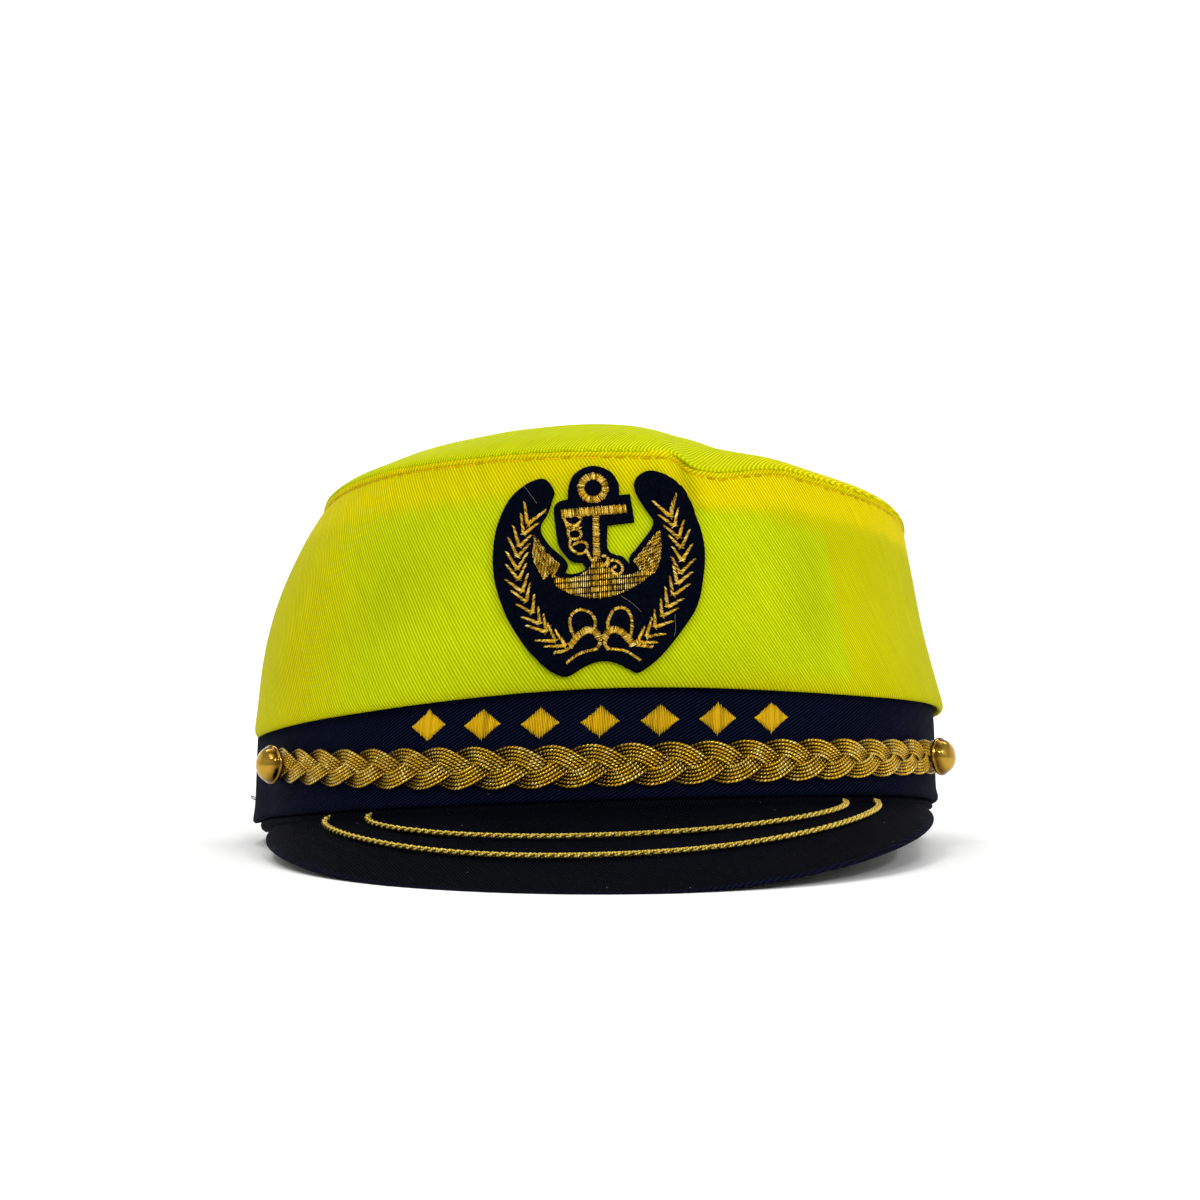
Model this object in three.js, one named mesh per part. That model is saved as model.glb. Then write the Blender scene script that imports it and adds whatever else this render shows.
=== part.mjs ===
// A captain hat at rest: yellow twill crown, navy band and visor, gold braid, buttons and badge.
// Millimetres, +Z up, front towards -Y. The hat is drawn with its band level and then tilted back
// until the visor's front and the back of the band rest on the ground.
import * as THREE from "three";
import { TessellateModifier } from "three/addons/modifiers/TessellateModifier.js";

const { degToRad, lerp, clamp, smoothstep } = THREE.MathUtils;

// Driving sizes
const BAND_WIDTH = 196;
const BAND_LENGTH = 179;
const BAND_HEIGHT = 31;
const BAND_WALL = 2.4;
const HEM_HEIGHT = 4;
const HEM_SWELL = 0.9;
const CLOTH = 1.8;
const GAP = 0.3;
const CROWN_RISE = 58.8;
const CROWN_LIP = 2.4;
const CROWN_DRAPE = 2.8;
const TIP_BULGE = 22.8;
const TIP_EDGE = 0.7;
const TIP_SEAT = 0.86;
const TIP_FORWARD = 0.22;
const TIP_ROUNDNESS = 2.7;
const FOLD_ROUNDNESS = 0.55;
const VISOR_REACH = 47;
const VISOR_DROP = 23.5;
const VISOR_CORNER_DROP = 3.2;
const VISOR_CORNER_ANGLE = 71;
const VISOR_THICK = 2.6;
const VISOR_CROWN = 1.4;
const VISOR_BOW = 1;
const VISOR_SLOPE = 1.25;
const VISOR_EDGE = 0.5;
const CORD_RADIUS = 0.8;
const CORD_CLEARANCE = 0.1;
const BRAID_HEIGHT = 11.8;
const BRAID_THICK = 1.9;
const BRAID_PITCH = 10.2;
const BRAID_LOBE = 0.7;
const BUTTON_RADIUS = 5.4;
const BUTTON_DEPTH = 5.2;
const BADGE_WIDTH = 56.5;
const FELT_THICK = 1.4;
const THREAD_THICK = 0.9;
const PANEL_EDGE = 8;
const PANEL_PASSES = 24;
const ROPE_RADIUS = 0.45;
const MOTIF_WIDTH = 9.4;
const MOTIF_HEIGHT = 8.2;
const MOTIF_THICK = 0.7;
const REST_TILT = 6;
const REST_LIFT = 8.8;
const SIDE_ROLL = 1.8;

// Places, as angles round the band from the front, positive towards +X, and heights on the band
const BRAID_CENTRE = 9.1;
const BRAID_RISE_LEFT = 5.4;
const BRAID_RISE_RIGHT = 2.4;
const BUTTON_LEFT = -63;
const BUTTON_RIGHT = 70;
const BRAID_PAST_BUTTON = 3.5;
const MOTIF_COUNT = 7;
const MOTIF_SPAN = 27;
const MOTIF_CLEARANCE = 1.2;
const BADGE_CENTRE_SHARE = 0.505;
const ROUND_STEPS = 72;
const CORD_STEPS = 36;
const VISOR_STEPS = 44;
const ROPE_STEPS = 36;
const CORD_OUTER = { left: -47.5, right: 48.5, reach: 0.66, square: 2.6 };
const CORD_INNER = { left: -38, right: 41, reach: 0.46, square: 2.6 };

// Colours
const YELLOW = 0xd2dc12;
const YELLOW_THREAD = 0xd9cf3a;
const NAVY = 0x0c1226;
const NAVY_PEAK = 0x0b0c10;
const NAVY_FELT = 0x0a101c;
const GOLD_THREAD = 0xb98a2e;
const GOLD_CORD = 0xb08a3e;
const GOLD_BRAID = 0x9a7c3c;
const GOLD_METAL = 0xd8bb5e;

const RADIUS_X = BAND_WIDTH / 2;
const RADIUS_Y = BAND_LENGTH / 2;

// One row each 45 degrees from the front, turning towards +X. rise is a share of CROWN_RISE, inset of
// half the band's width, lip of CROWN_LIP and drape of CROWN_DRAPE; shoulder is how late the wall curves in.
const CROWN_STATIONS = [
  { rise: 1.0, inset: 0.065, shoulder: 1.25, lip: 0.9, drape: 0.95 },
  { rise: 0.885, inset: 0.075, shoulder: 1.3, lip: 1.0, drape: 1.7 },
  { rise: 0.79, inset: 0.09, shoulder: 1.2, lip: 1.3, drape: 1.8 },
  { rise: 0.72, inset: 0.11, shoulder: 1.8, lip: 1.0, drape: 1.3 },
  { rise: 0.69, inset: 0.1, shoulder: 1.8, lip: 0.9, drape: 1.2 },
  { rise: 0.77, inset: 0.15, shoulder: 2.4, lip: 1.2, drape: 1.7 },
  { rise: 0.95, inset: 0.18, shoulder: 3.2, lip: 1.4, drape: 2.9 },
  { rise: 1.0, inset: 0.125, shoulder: 2.4, lip: 1.1, drape: 2.1 },
];

// Soft dents and bulges of the crown's side: angle and spread round the hat, height and tall as shares
// of the crown's rise, depth inwards.
const CROWN_DENTS = [
  { angle: -36, spread: 13, height: 0.5, tall: 0.26, depth: 2.4 },
  { angle: 62, spread: 16, height: 0.55, tall: 0.3, depth: 1.2 },
  { angle: 150, spread: 22, height: 0.6, tall: 0.35, depth: 2.6 },
  { angle: -120, spread: 20, height: 0.45, tall: 0.3, depth: 2.2 },
  { angle: -72, spread: 14, height: 0.3, tall: 0.2, depth: -1.2 },
];

// The pinch where the top seam steps down beside the badge, and the sag of the tip behind it
const SEAM_STEP = { angle: 20, spread: 6, depth: 2.2 };
const TIP_DENTS = [
  { angle: 50, radius: 0.78, spread: 0.28, depth: 8 },
  { angle: -62, radius: 0.62, spread: 0.24, depth: -1.8 },
  { angle: 168, radius: 0.5, spread: 0.36, depth: 4.5 },
  { angle: -125, radius: 0.62, spread: 0.3, depth: 3.5 },
];

// A periodic smooth curve through one column of the crown's stations
function crownStation(angle, column) {
  const count = CROWN_STATIONS.length;
  const turns = ((angle / 360) * count + 8 * count) % count;
  const index = Math.floor(turns);
  const t = turns - index;
  const [a, b, c, d] = [-1, 0, 1, 2].map((step) => CROWN_STATIONS[(index + step + count) % count][column]);
  return b + 0.5 * t * (c - a + t * (2 * a - 5 * b + 4 * c - d + t * (3 * (b - c) + d - a)));
}

// The point of the band's outer face at an angle, pushed outwards by offset, at a height
function onBand(angle, offset, height) {
  const turn = degToRad(angle);
  const normal = new THREE.Vector2(Math.sin(turn) / RADIUS_X, -Math.cos(turn) / RADIUS_Y).normalize();
  return new THREE.Vector3(
    RADIUS_X * Math.sin(turn) + offset * normal.x,
    -RADIUS_Y * Math.cos(turn) + offset * normal.y,
    height,
  );
}

function bell(distance, spread) {
  return Math.exp(-((distance / spread) ** 2));
}

function angleBetween(a, b) {
  return ((a - b + 540) % 360) - 180;
}

function seamHeight(angle) {
  const step = SEAM_STEP.depth * bell(angleBetween(angle, SEAM_STEP.angle), SEAM_STEP.spread);
  return BAND_HEIGHT + CROWN_RISE * crownStation(angle, "rise") - step;
}

function foldHeight(angle) {
  return BAND_HEIGHT - CROWN_DRAPE * crownStation(angle, "drape");
}

function crownDent(angle, share) {
  return CROWN_DENTS.reduce(
    (sum, d) => sum + d.depth * bell(angleBetween(angle, d.angle), d.spread) * bell(share - d.height, d.tall),
    0,
  );
}

// The crown's outer face as offset and height, from the fold (share 0) to the top seam (share 1)
function crownProfile(angle, share) {
  const lip = CROWN_LIP * crownStation(angle, "lip") * (1 - share) ** 4;
  const inset = RADIUS_X * crownStation(angle, "inset") * share ** crownStation(angle, "shoulder");
  const fold = foldHeight(angle);
  return new THREE.Vector2(
    GAP + lip - inset - crownDent(angle, share) * Math.sin(Math.PI * share),
    fold + (seamHeight(angle) - fold) * share,
  );
}

// A point of the crown's face, moved outwards along the face's own normal
function onCrown(angle, share, outwards) {
  const step = 0.01;
  const point = crownProfile(angle, share);
  const rise = crownProfile(angle, Math.min(share + step, 1)).sub(crownProfile(angle, Math.max(share - step, 0)));
  rise.normalize();
  return onBand(angle, point.x + outwards * rise.y, point.y - outwards * rise.x);
}

// The resting pose: the sides roll at the front, the hat tilts back, and what would sink is flattened
function settle(point) {
  const front = 1 - smoothstep(point.y, -RADIUS_Y / 2, (RADIUS_Y * 2) / 3);
  const height = point.z + point.x * Math.tan(degToRad(SIDE_ROLL)) * front;
  const tilt = degToRad(REST_TILT);
  const y = point.y * Math.cos(tilt) + height * Math.sin(tilt);
  const z = height * Math.cos(tilt) - point.y * Math.sin(tilt) + REST_LIFT;
  return new THREE.Vector3(point.x, y, Math.max(z, 0));
}

function finish(name, geometry, colour, roughness, metalness = 0) {
  geometry.computeVertexNormals();
  const material = new THREE.MeshStandardMaterial({ color: colour, roughness, metalness });
  material.name = name;
  const mesh = new THREE.Mesh(geometry, material);
  mesh.name = name;
  return mesh;
}

// Moves every vertex of a geometry by a rule and settles it in the resting pose
function moved(geometry, rule) {
  const position = geometry.getAttribute("position");
  const point = new THREE.Vector3();
  for (let i = 0; i < position.count; i++) {
    point.fromBufferAttribute(position, i);
    const target = settle(rule(point));
    position.setXYZ(i, target.x, target.y, target.z);
  }
  return geometry;
}

// A closed ring or disc: a lathe whose every section is moved to the one worked out for its angle
function lathed(sectionAt, segments) {
  const profile = sectionAt(0);
  const outline = profile.map((point) => new THREE.Vector2(Math.hypot(point.x, point.y), point.z));
  const geometry = new THREE.LatheGeometry(outline, segments);
  const position = geometry.getAttribute("position");
  for (let i = 0; i <= segments; i++) {
    const section = sectionAt(((i % segments) / segments) * 360);
    section.forEach((point, j) => {
      const target = settle(point);
      position.setXYZ(i * section.length + j, target.x, target.y, target.z);
    });
  }
  return geometry;
}

function crownSide() {
  const outer = [0.03, 0.09, 0.18, 0.3, 0.43, 0.56, 0.69, 0.81, 0.91, 1];
  const inner = [1, 0.88, 0.75, 0.6, 0.42, 0.24];
  const section = (angle) => {
    const fold = foldHeight(angle);
    const lip = crownProfile(angle, 0).x;
    const foot = [
      onBand(angle, -CLOTH, BAND_HEIGHT + GAP),
      onBand(angle, GAP, BAND_HEIGHT + GAP),
      onBand(angle, GAP, fold + CLOTH / 2),
      onBand(angle, lerp(GAP, lip, FOLD_ROUNDNESS), fold),
    ];
    const wall = outer.map((share) => onCrown(angle, share, 0));
    const lining = inner.map((share) => onCrown(angle, share, -CLOTH));
    return [...foot, ...wall, ...lining, foot[0].clone()];
  };
  return finish("crown_side", lathed(section, ROUND_STEPS), YELLOW, 0.62);
}

// The tip: a soft dome over the top seam, fuller towards the front
function tipHeight(angle, share) {
  const rim = seamHeight(angle);
  const middle = BAND_HEIGHT + CROWN_RISE * TIP_SEAT;
  const round = 1 - share ** TIP_ROUNDNESS;
  const dents = TIP_DENTS.reduce((sum, d) => {
    const turn = degToRad(angleBetween(angle, d.angle));
    const apart = Math.hypot(share * Math.cos(turn) - d.radius, share * Math.sin(turn));
    return sum + d.depth * bell(apart, d.spread);
  }, 0);
  const forward = 1 + TIP_FORWARD * share * Math.cos(degToRad(angle));
  return lerp(middle, rim, share * share) + (TIP_BULGE * forward - dents) * round;
}

function crownTop() {
  const shares = [0, 0.16, 0.34, 0.52, 0.68, 0.81, 0.91, 0.97, 1];
  const section = (angle) => {
    const rim = crownProfile(angle, 1).x + TIP_EDGE;
    const at = (share, lift) => {
      const point = onBand(angle, rim, 0).multiplyScalar(share);
      point.z = tipHeight(angle, share) + GAP + lift;
      return point;
    };
    const under = shares.filter((share, i) => i % 2 === 0).map((share) => at(share, 0));
    const over = shares.map((share) => at(share, CLOTH)).reverse();
    return [...under, ...over];
  };
  return finish("crown_top", lathed(section, ROUND_STEPS), YELLOW, 0.62);
}

// The band: a plain ring with a rolled hem at its lower edge
function band() {
  const section = (angle) => {
    const points = [
      onBand(angle, -BAND_WALL, 0),
      onBand(angle, HEM_SWELL / 2, 0),
      onBand(angle, HEM_SWELL, HEM_HEIGHT / 3),
      onBand(angle, HEM_SWELL / 2, (HEM_HEIGHT * 3) / 4),
      onBand(angle, 0, HEM_HEIGHT),
      onBand(angle, 0, BAND_HEIGHT),
      onBand(angle, -BAND_WALL, BAND_HEIGHT),
    ];
    return [...points, points[0].clone()];
  };
  return finish("band", lathed(section, ROUND_STEPS), NAVY, 0.75);
}

// The visor's upper face: along runs from -1 at the left corner to 1 at the right, out from 0 at the
// band to 1 at the free edge.
function onVisor(along, out, lift) {
  const angle = along * VISOR_CORNER_ANGLE;
  const inner = onBand(angle, -BAND_WALL, -GAP);
  const corner = onBand(VISOR_CORNER_ANGLE, 0, 0);
  const turn = (along * Math.PI) / 2;
  const front = RADIUS_Y + VISOR_REACH + corner.y;
  const edge = new THREE.Vector3(corner.x * Math.sin(turn), corner.y - front * Math.cos(turn) ** VISOR_BOW, 0);
  const reach = Math.max(corner.y - edge.y, 0) / front;
  edge.z = -GAP - VISOR_CORNER_DROP - (VISOR_DROP - VISOR_CORNER_DROP) * reach ** VISOR_SLOPE;
  const point = inner.lerp(edge, out);
  point.z += VISOR_CROWN * Math.sin(Math.PI * out) * reach + lift;
  return point;
}

function visor() {
  const block = new THREE.BoxGeometry(2, 1, 1, VISOR_STEPS, 5, 1);
  block.translate(0, -0.5, -0.5);
  const rule = (p) => onVisor(p.x, -p.y, p.z * VISOR_THICK * (p.y > -1 ? 1 : VISOR_EDGE));
  return finish("visor", moved(block, rule), NAVY_PEAK, 0.7);
}

// A gold cord on the visor, from the band round its front and back to the band
function visorCord(name, route) {
  const corner = VISOR_CORNER_ANGLE;
  const steps = CORD_STEPS;
  const points = [];
  for (let i = 0; i <= steps; i++) {
    const share = (i / steps) * 2 - 1;
    const turn = (share * Math.PI) / 2;
    const across = Math.sign(share) * Math.abs(Math.sin(turn)) ** (2 / route.square);
    const reach = Math.abs(Math.cos(turn)) ** (2 / route.square);
    const along = (across < 0 ? -across * route.left : across * route.right) / corner;
    const depth = onVisor(along, 0, 0).distanceTo(onVisor(along, 1, 0));
    const near = (BAND_WALL + HEM_SWELL + CORD_RADIUS + 2 * GAP) / depth;
    const out = lerp(near, route.reach, reach);
    points.push(settle(onVisor(along, out, CORD_RADIUS + GAP + CORD_CLEARANCE)));
  }
  const path = new THREE.CatmullRomCurve3(points);
  const profile = new THREE.Shape();
  for (let i = 0; i < 6; i++) {
    const turn = (i / 6) * 2 * Math.PI;
    profile[i ? "lineTo" : "moveTo"](CORD_RADIUS * Math.cos(turn), CORD_RADIUS * Math.sin(turn));
  }
  profile.closePath();
  const geometry = new THREE.ExtrudeGeometry(profile, { steps, extrudePath: path, bevelEnabled: false });
  return finish(name, geometry, GOLD_CORD, 0.4, 0.8);
}

// The braid's middle height on the band: it climbs a little towards each button
function braidHeight(angle) {
  const share = clamp(angle / (angle < 0 ? BUTTON_LEFT : BUTTON_RIGHT), 0, 1.2);
  return BRAID_CENTRE + (angle < 0 ? BRAID_RISE_LEFT : BRAID_RISE_RIGHT) * share ** 2;
}

function braid() {
  const left = BUTTON_LEFT - BRAID_PAST_BUTTON;
  const right = BUTTON_RIGHT + BRAID_PAST_BUTTON;
  const lobes = Math.round((degToRad(right - left) * (RADIUS_X + RADIUS_Y)) / 2 / BRAID_PITCH);
  const block = new THREE.BoxGeometry(1, 1, 1, lobes * 4, 2, 1);
  const rule = (p) => {
    const along = p.x + 0.5;
    const angle = lerp(left, right, along);
    const phase = along * lobes * 2 * Math.PI + (p.y > 0 ? 0 : Math.PI);
    const lobe = BRAID_LOBE * Math.cos(phase) - BRAID_LOBE;
    const half = p.y === 0 ? 0 : Math.sign(p.y) * (BRAID_HEIGHT / 2 + lobe);
    const outwards = GAP + (p.z + 0.5) * BRAID_THICK;
    return onBand(angle, outwards, braidHeight(angle) + half);
  };
  return finish("braid", moved(block, rule), GOLD_BRAID, 0.42, 0.75);
}

// A domed button standing on the braid
function button(name, angle) {
  const profile = [
    [0, 0],
    [0.8, 0],
    [1, 0.12],
    [1, 0.3],
    [0.93, 0.42],
    [0.86, 0.52],
    [0.66, 0.79],
    [0.38, 0.95],
    [0, 1],
  ].map(([radius, depth]) => new THREE.Vector2(radius * BUTTON_RADIUS, depth * BUTTON_DEPTH));
  const mesh = finish(name, new THREE.LatheGeometry(profile, 16), GOLD_METAL, 0.25, 1);
  const sagitta = BUTTON_RADIUS ** 2 / BAND_LENGTH;
  const seat = GAP + BRAID_THICK + GAP + sagitta;
  const height = braidHeight(angle);
  mesh.position.copy(settle(onBand(angle, seat, height)));
  const out = settle(onBand(angle, seat + 1, height)).sub(mesh.position).normalize();
  mesh.quaternion.setFromUnitVectors(new THREE.Vector3(0, 1, 0), out);
  return mesh;
}

// A badge point: x and y across and up the front panel from the badge's middle, z off its face
function onBadge(point) {
  const angle = THREE.MathUtils.radToDeg(point.x / RADIUS_X);
  const front = foldHeight(0);
  const lean = Math.cos(Math.atan2(RADIUS_X * CROWN_STATIONS[0].inset, CROWN_RISE));
  const height = lerp(front, seamHeight(0), BADGE_CENTRE_SHARE) + point.y * lean;
  const share = (height - foldHeight(angle)) / (seamHeight(angle) - foldHeight(angle));
  return onCrown(angle, share, point.z);
}

// A flat shape cut into short edges and laid on the front panel, from a height off it
function onPanel(shape, thick, lift) {
  const flat = new THREE.ExtrudeGeometry(shape, { depth: thick, bevelEnabled: false, curveSegments: 8 });
  const cut = new TessellateModifier(PANEL_EDGE, PANEL_PASSES).modify(flat);
  cut.translate(0, 0, lift);
  return moved(cut, onBadge);
}

const HALF_BADGE = BADGE_WIDTH / 2;

function badgePoints(rows) {
  return rows.map(([x, y]) => new THREE.Vector2(x * HALF_BADGE, y * HALF_BADGE));
}

// The felt's outline as shares of half the badge's width: lobe, left edge, foot, right edge, lobe,
// then the inner line down the right arm, round the anchor and up the left arm.
const FELT_OUTLINE = [
  [-0.57, 0.86], [-0.72, 0.79], [-0.86, 0.65], [-0.96, 0.43], [-1.0, 0.18], [-0.99, -0.06],
  [-0.93, -0.29], [-0.83, -0.51], [-0.68, -0.73], [-0.52, -0.89], [-0.41, -0.96], [-0.3, -0.98],
  [-0.16, -0.9], [-0.04, -0.85], [0.07, -0.84], [0.18, -0.87], [0.28, -0.92], [0.37, -0.94],
  [0.57, -0.79], [0.76, -0.56], [0.9, -0.34], [0.96, -0.09], [0.98, 0.15], [0.95, 0.36],
  [0.87, 0.57], [0.78, 0.74], [0.67, 0.86], [0.54, 0.93], [0.43, 0.93], [0.34, 0.87],
  [0.32, 0.79], [0.36, 0.68], [0.43, 0.57], [0.5, 0.44], [0.37, 0.24], [0.27, 0.11],
  [0.31, 0.01], [0.21, 0.12], [0.14, 0.14], [0.07, 0.2], [0.07, 0.42], [0.32, 0.45],
  [0.28, 0.71], [0.18, 0.7], [0.17, 0.82], [0.09, 0.93], [-0.07, 0.98], [-0.22, 0.92],
  [-0.29, 0.8], [-0.3, 0.66], [-0.38, 0.64], [-0.43, 0.58], [-0.42, 0.43], [-0.39, 0.24],
  [-0.34, 0.16], [-0.26, 0.08], [-0.16, 0.07], [-0.14, 0.0], [-0.25, -0.04], [-0.33, -0.03],
  [-0.3, 0.05], [-0.36, 0.13], [-0.46, 0.22], [-0.56, 0.39], [-0.49, 0.54], [-0.45, 0.66],
  [-0.43, 0.74], [-0.48, 0.83],
];

const ANCHOR_RING = { x: -0.067, y: 0.755, outer: 0.15, inner: 0.085, from: 235, sweep: 290, steps: 14 };

// The anchor's outline from the right of its ring: stock, shank, right arm, crown, left arm and back
const ANCHOR_OUTLINE = [
  [0.23, 0.62], [0.23, 0.52], [0.012, 0.5], [0.01, 0.06], [0.06, 0.02], [0.17, -0.04], [0.29, -0.04],
  [0.37, 0.02], [0.29, 0.09], [0.45, 0.24], [0.52, 0.37], [0.55, 0.3], [0.54, 0.14], [0.5, -0.03],
  [0.45, -0.04], [0.31, -0.18], [0.15, -0.25], [-0.05, -0.28], [-0.25, -0.26], [-0.41, -0.2],
  [-0.53, -0.11], [-0.575, 0.0], [-0.63, 0.14], [-0.61, 0.32], [-0.54, 0.22], [-0.37, 0.04],
  [-0.42, -0.04], [-0.32, -0.08], [-0.18, -0.04], [-0.07, 0.02], [-0.07, 0.06], [-0.085, 0.48],
  [-0.34, 0.47], [-0.36, 0.57],
];

function badgeFelt() {
  const shape = new THREE.Shape(badgePoints(FELT_OUTLINE));
  return finish("badge_felt", onPanel(shape, FELT_THICK, GAP), NAVY_FELT, 0.95);
}

const THREAD_LIFT = GAP + FELT_THICK + GAP;

function badgeAnchor() {
  const ring = ANCHOR_RING;
  const arc = [];
  for (let i = 0; i <= ring.steps; i++) {
    const turn = degToRad(ring.from - (i / ring.steps) * ring.sweep);
    arc.push([ring.x + ring.outer * Math.cos(turn), ring.y + ring.outer * Math.sin(turn)]);
  }
  const shape = new THREE.Shape(badgePoints([...arc, ...ANCHOR_OUTLINE]));
  const eye = new THREE.Path();
  eye.absarc(ring.x * HALF_BADGE, ring.y * HALF_BADGE, ring.inner * HALF_BADGE, 0, 2 * Math.PI, false);
  shape.holes.push(eye);
  return finish("badge_anchor", onPanel(shape, THREAD_THICK, THREAD_LIFT), GOLD_THREAD, 0.4, 0.8);
}

// The rope: it leaves the stock, winds beside the shank, crosses it and ends in a curl on the right
const ROPE_ROUTE = [
  [-0.3, 0.46], [-0.2, 0.43], [-0.3, 0.37], [-0.2, 0.32], [-0.29, 0.26], [-0.2, 0.2],
  [-0.24, 0.13], [-0.14, 0.14], [-0.1, 0.07], [-0.03, 0.1], [0.04, 0.06], [0.1, 0.08],
  [0.17, 0.06], [0.19, 0.0], [0.13, -0.02],
];

function badgeRope() {
  const lift = THREAD_LIFT + THREAD_THICK + GAP + ROPE_RADIUS;
  const flat = badgePoints(ROPE_ROUTE).map((p) => new THREE.Vector3(p.x, p.y, lift));
  const path = new THREE.CatmullRomCurve3(flat.map((p) => settle(onBadge(p))));
  const profile = new THREE.Shape().absarc(0, 0, ROPE_RADIUS, 0, 2 * Math.PI, false);
  const geometry = new THREE.ExtrudeGeometry(profile, {
    steps: ROPE_STEPS, extrudePath: path, bevelEnabled: false, curveSegments: 3,
  });
  return finish("badge_rope", geometry, GOLD_THREAD, 0.4, 0.8);
}

// A laurel branch: a stem curve with pairs of narrow leaves that point along it
const WREATH_LEAVES = 11;
const WREATH_LEAF = { length: 0.15, spread: 36, root: 0.03, foot: 0.45 };
const WREATH_STEM = [
  [-0.34, -0.64], [-0.5, -0.52], [-0.68, -0.3], [-0.8, -0.04], [-0.8, 0.24], [-0.7, 0.48], [-0.6, 0.64],
];

function badgeWreath(name, side) {
  const stem = new THREE.SplineCurve(badgePoints(WREATH_STEM));
  const leaf = WREATH_LEAF;
  const up = [];
  const down = [];
  for (let i = 0; i < WREATH_LEAVES; i++) {
    const share = i / WREATH_LEAVES;
    const foot = stem.getPointAt(share);
    const run = stem.getTangentAt(share);
    const next = stem.getPointAt(share + leaf.foot / WREATH_LEAVES);
    for (const [list, hand] of [[up, 1], [down, -1]]) {
      const across = new THREE.Vector2(-run.y, run.x).multiplyScalar(hand * leaf.root * HALF_BADGE);
      const reach = run.clone().rotateAround(new THREE.Vector2(), hand * degToRad(leaf.spread));
      list.push(foot.clone().add(across));
      list.push(foot.clone().addScaledVector(reach, leaf.length * HALF_BADGE));
      list.push(next.clone().add(across));
    }
  }
  const end = stem.getPointAt(1);
  const outline = [...up, end, ...down.reverse()].map((p) => new THREE.Vector2(p.x * side, p.y));
  const geometry = onPanel(new THREE.Shape(outline), THREAD_THICK, THREAD_LIFT);
  return finish(name, geometry, GOLD_THREAD, 0.4, 0.8);
}

// The bow at the foot of the wreath: two upper loops, a tie and two tails
const BOW_OUTLINE = [
  [0.02, -0.56], [0.08, -0.42], [0.15, -0.35], [0.23, -0.37], [0.28, -0.46], [0.27, -0.62],
  [0.22, -0.6], [0.17, -0.64], [0.09, -0.7], [0.22, -0.75], [0.36, -0.83], [0.34, -0.86],
  [0.19, -0.79], [0.06, -0.75], [-0.02, -0.68], [-0.1, -0.76], [-0.21, -0.79], [-0.32, -0.87],
  [-0.34, -0.84], [-0.24, -0.75], [-0.12, -0.71], [-0.2, -0.64], [-0.25, -0.6], [-0.28, -0.48],
  [-0.24, -0.4], [-0.17, -0.37], [-0.1, -0.42], [-0.05, -0.56], [-0.02, -0.6],
];
const BOW_LOOPS = [
  [[0.07, -0.57], [0.11, -0.44], [0.16, -0.39], [0.21, -0.41], [0.24, -0.47], [0.22, -0.57], [0.14, -0.6]],
  [[-0.1, -0.57], [-0.13, -0.45], [-0.18, -0.41], [-0.22, -0.43], [-0.24, -0.49], [-0.22, -0.57], [-0.16, -0.61]],
];

function badgeBow() {
  const shape = new THREE.Shape(badgePoints(BOW_OUTLINE));
  BOW_LOOPS.forEach((loop) => {
    const points = badgePoints(loop);
    shape.holes.push(new THREE.Path(THREE.ShapeUtils.isClockWise(points) ? points.reverse() : points));
  });
  return finish("badge_bow", onPanel(shape, THREAD_THICK, THREAD_LIFT), GOLD_THREAD, 0.4, 0.8);
}

// A row of plain lozenges on the band, between the braid and the crown's fold
function motif(index) {
  const shape = new THREE.Shape([
    new THREE.Vector2(-MOTIF_WIDTH / 2, 0),
    new THREE.Vector2(0, -MOTIF_HEIGHT / 2),
    new THREE.Vector2(MOTIF_WIDTH / 2, 0),
    new THREE.Vector2(0, MOTIF_HEIGHT / 2),
  ]);
  const share = (index / (MOTIF_COUNT - 1)) * 2 - 1;
  const middle = share * MOTIF_SPAN;
  const flat = new THREE.ExtrudeGeometry(shape, { depth: MOTIF_THICK, bevelEnabled: false });
  const above = braidHeight(middle) + BRAID_HEIGHT / 2 + MOTIF_CLEARANCE + MOTIF_HEIGHT / 2;
  const rule = (p) => onBand(middle + THREE.MathUtils.radToDeg(p.x / RADIUS_X), GAP + p.z, above + p.y);
  return finish(`motif_${index + 1}`, moved(flat, rule), YELLOW_THREAD, 0.55);
}

const hat = new THREE.Group();
hat.name = "captain_hat";
hat.add(crownSide(), crownTop(), band(), visor());
hat.add(visorCord("visor_cord_outer", CORD_OUTER), visorCord("visor_cord_inner", CORD_INNER));
hat.add(braid(), button("button_left", BUTTON_LEFT), button("button_right", BUTTON_RIGHT));
hat.add(badgeFelt(), badgeAnchor(), badgeRope(), badgeBow());
hat.add(badgeWreath("badge_wreath_left", 1), badgeWreath("badge_wreath_right", -1));
for (let i = 0; i < MOTIF_COUNT; i++) {
  hat.add(motif(i));
}

// The origin lies on the ground under the middle of the hat
const box = new THREE.Box3().setFromObject(hat, true);
const middle = box.getCenter(new THREE.Vector3());
hat.position.set(-middle.x, -middle.y, -box.min.z);

export default hat;
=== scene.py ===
import functools
import math
import random

import bmesh
import bpy
import numpy as np
from mathutils import Matrix, Vector, noise
from mathutils.bvhtree import BVHTree


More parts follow.
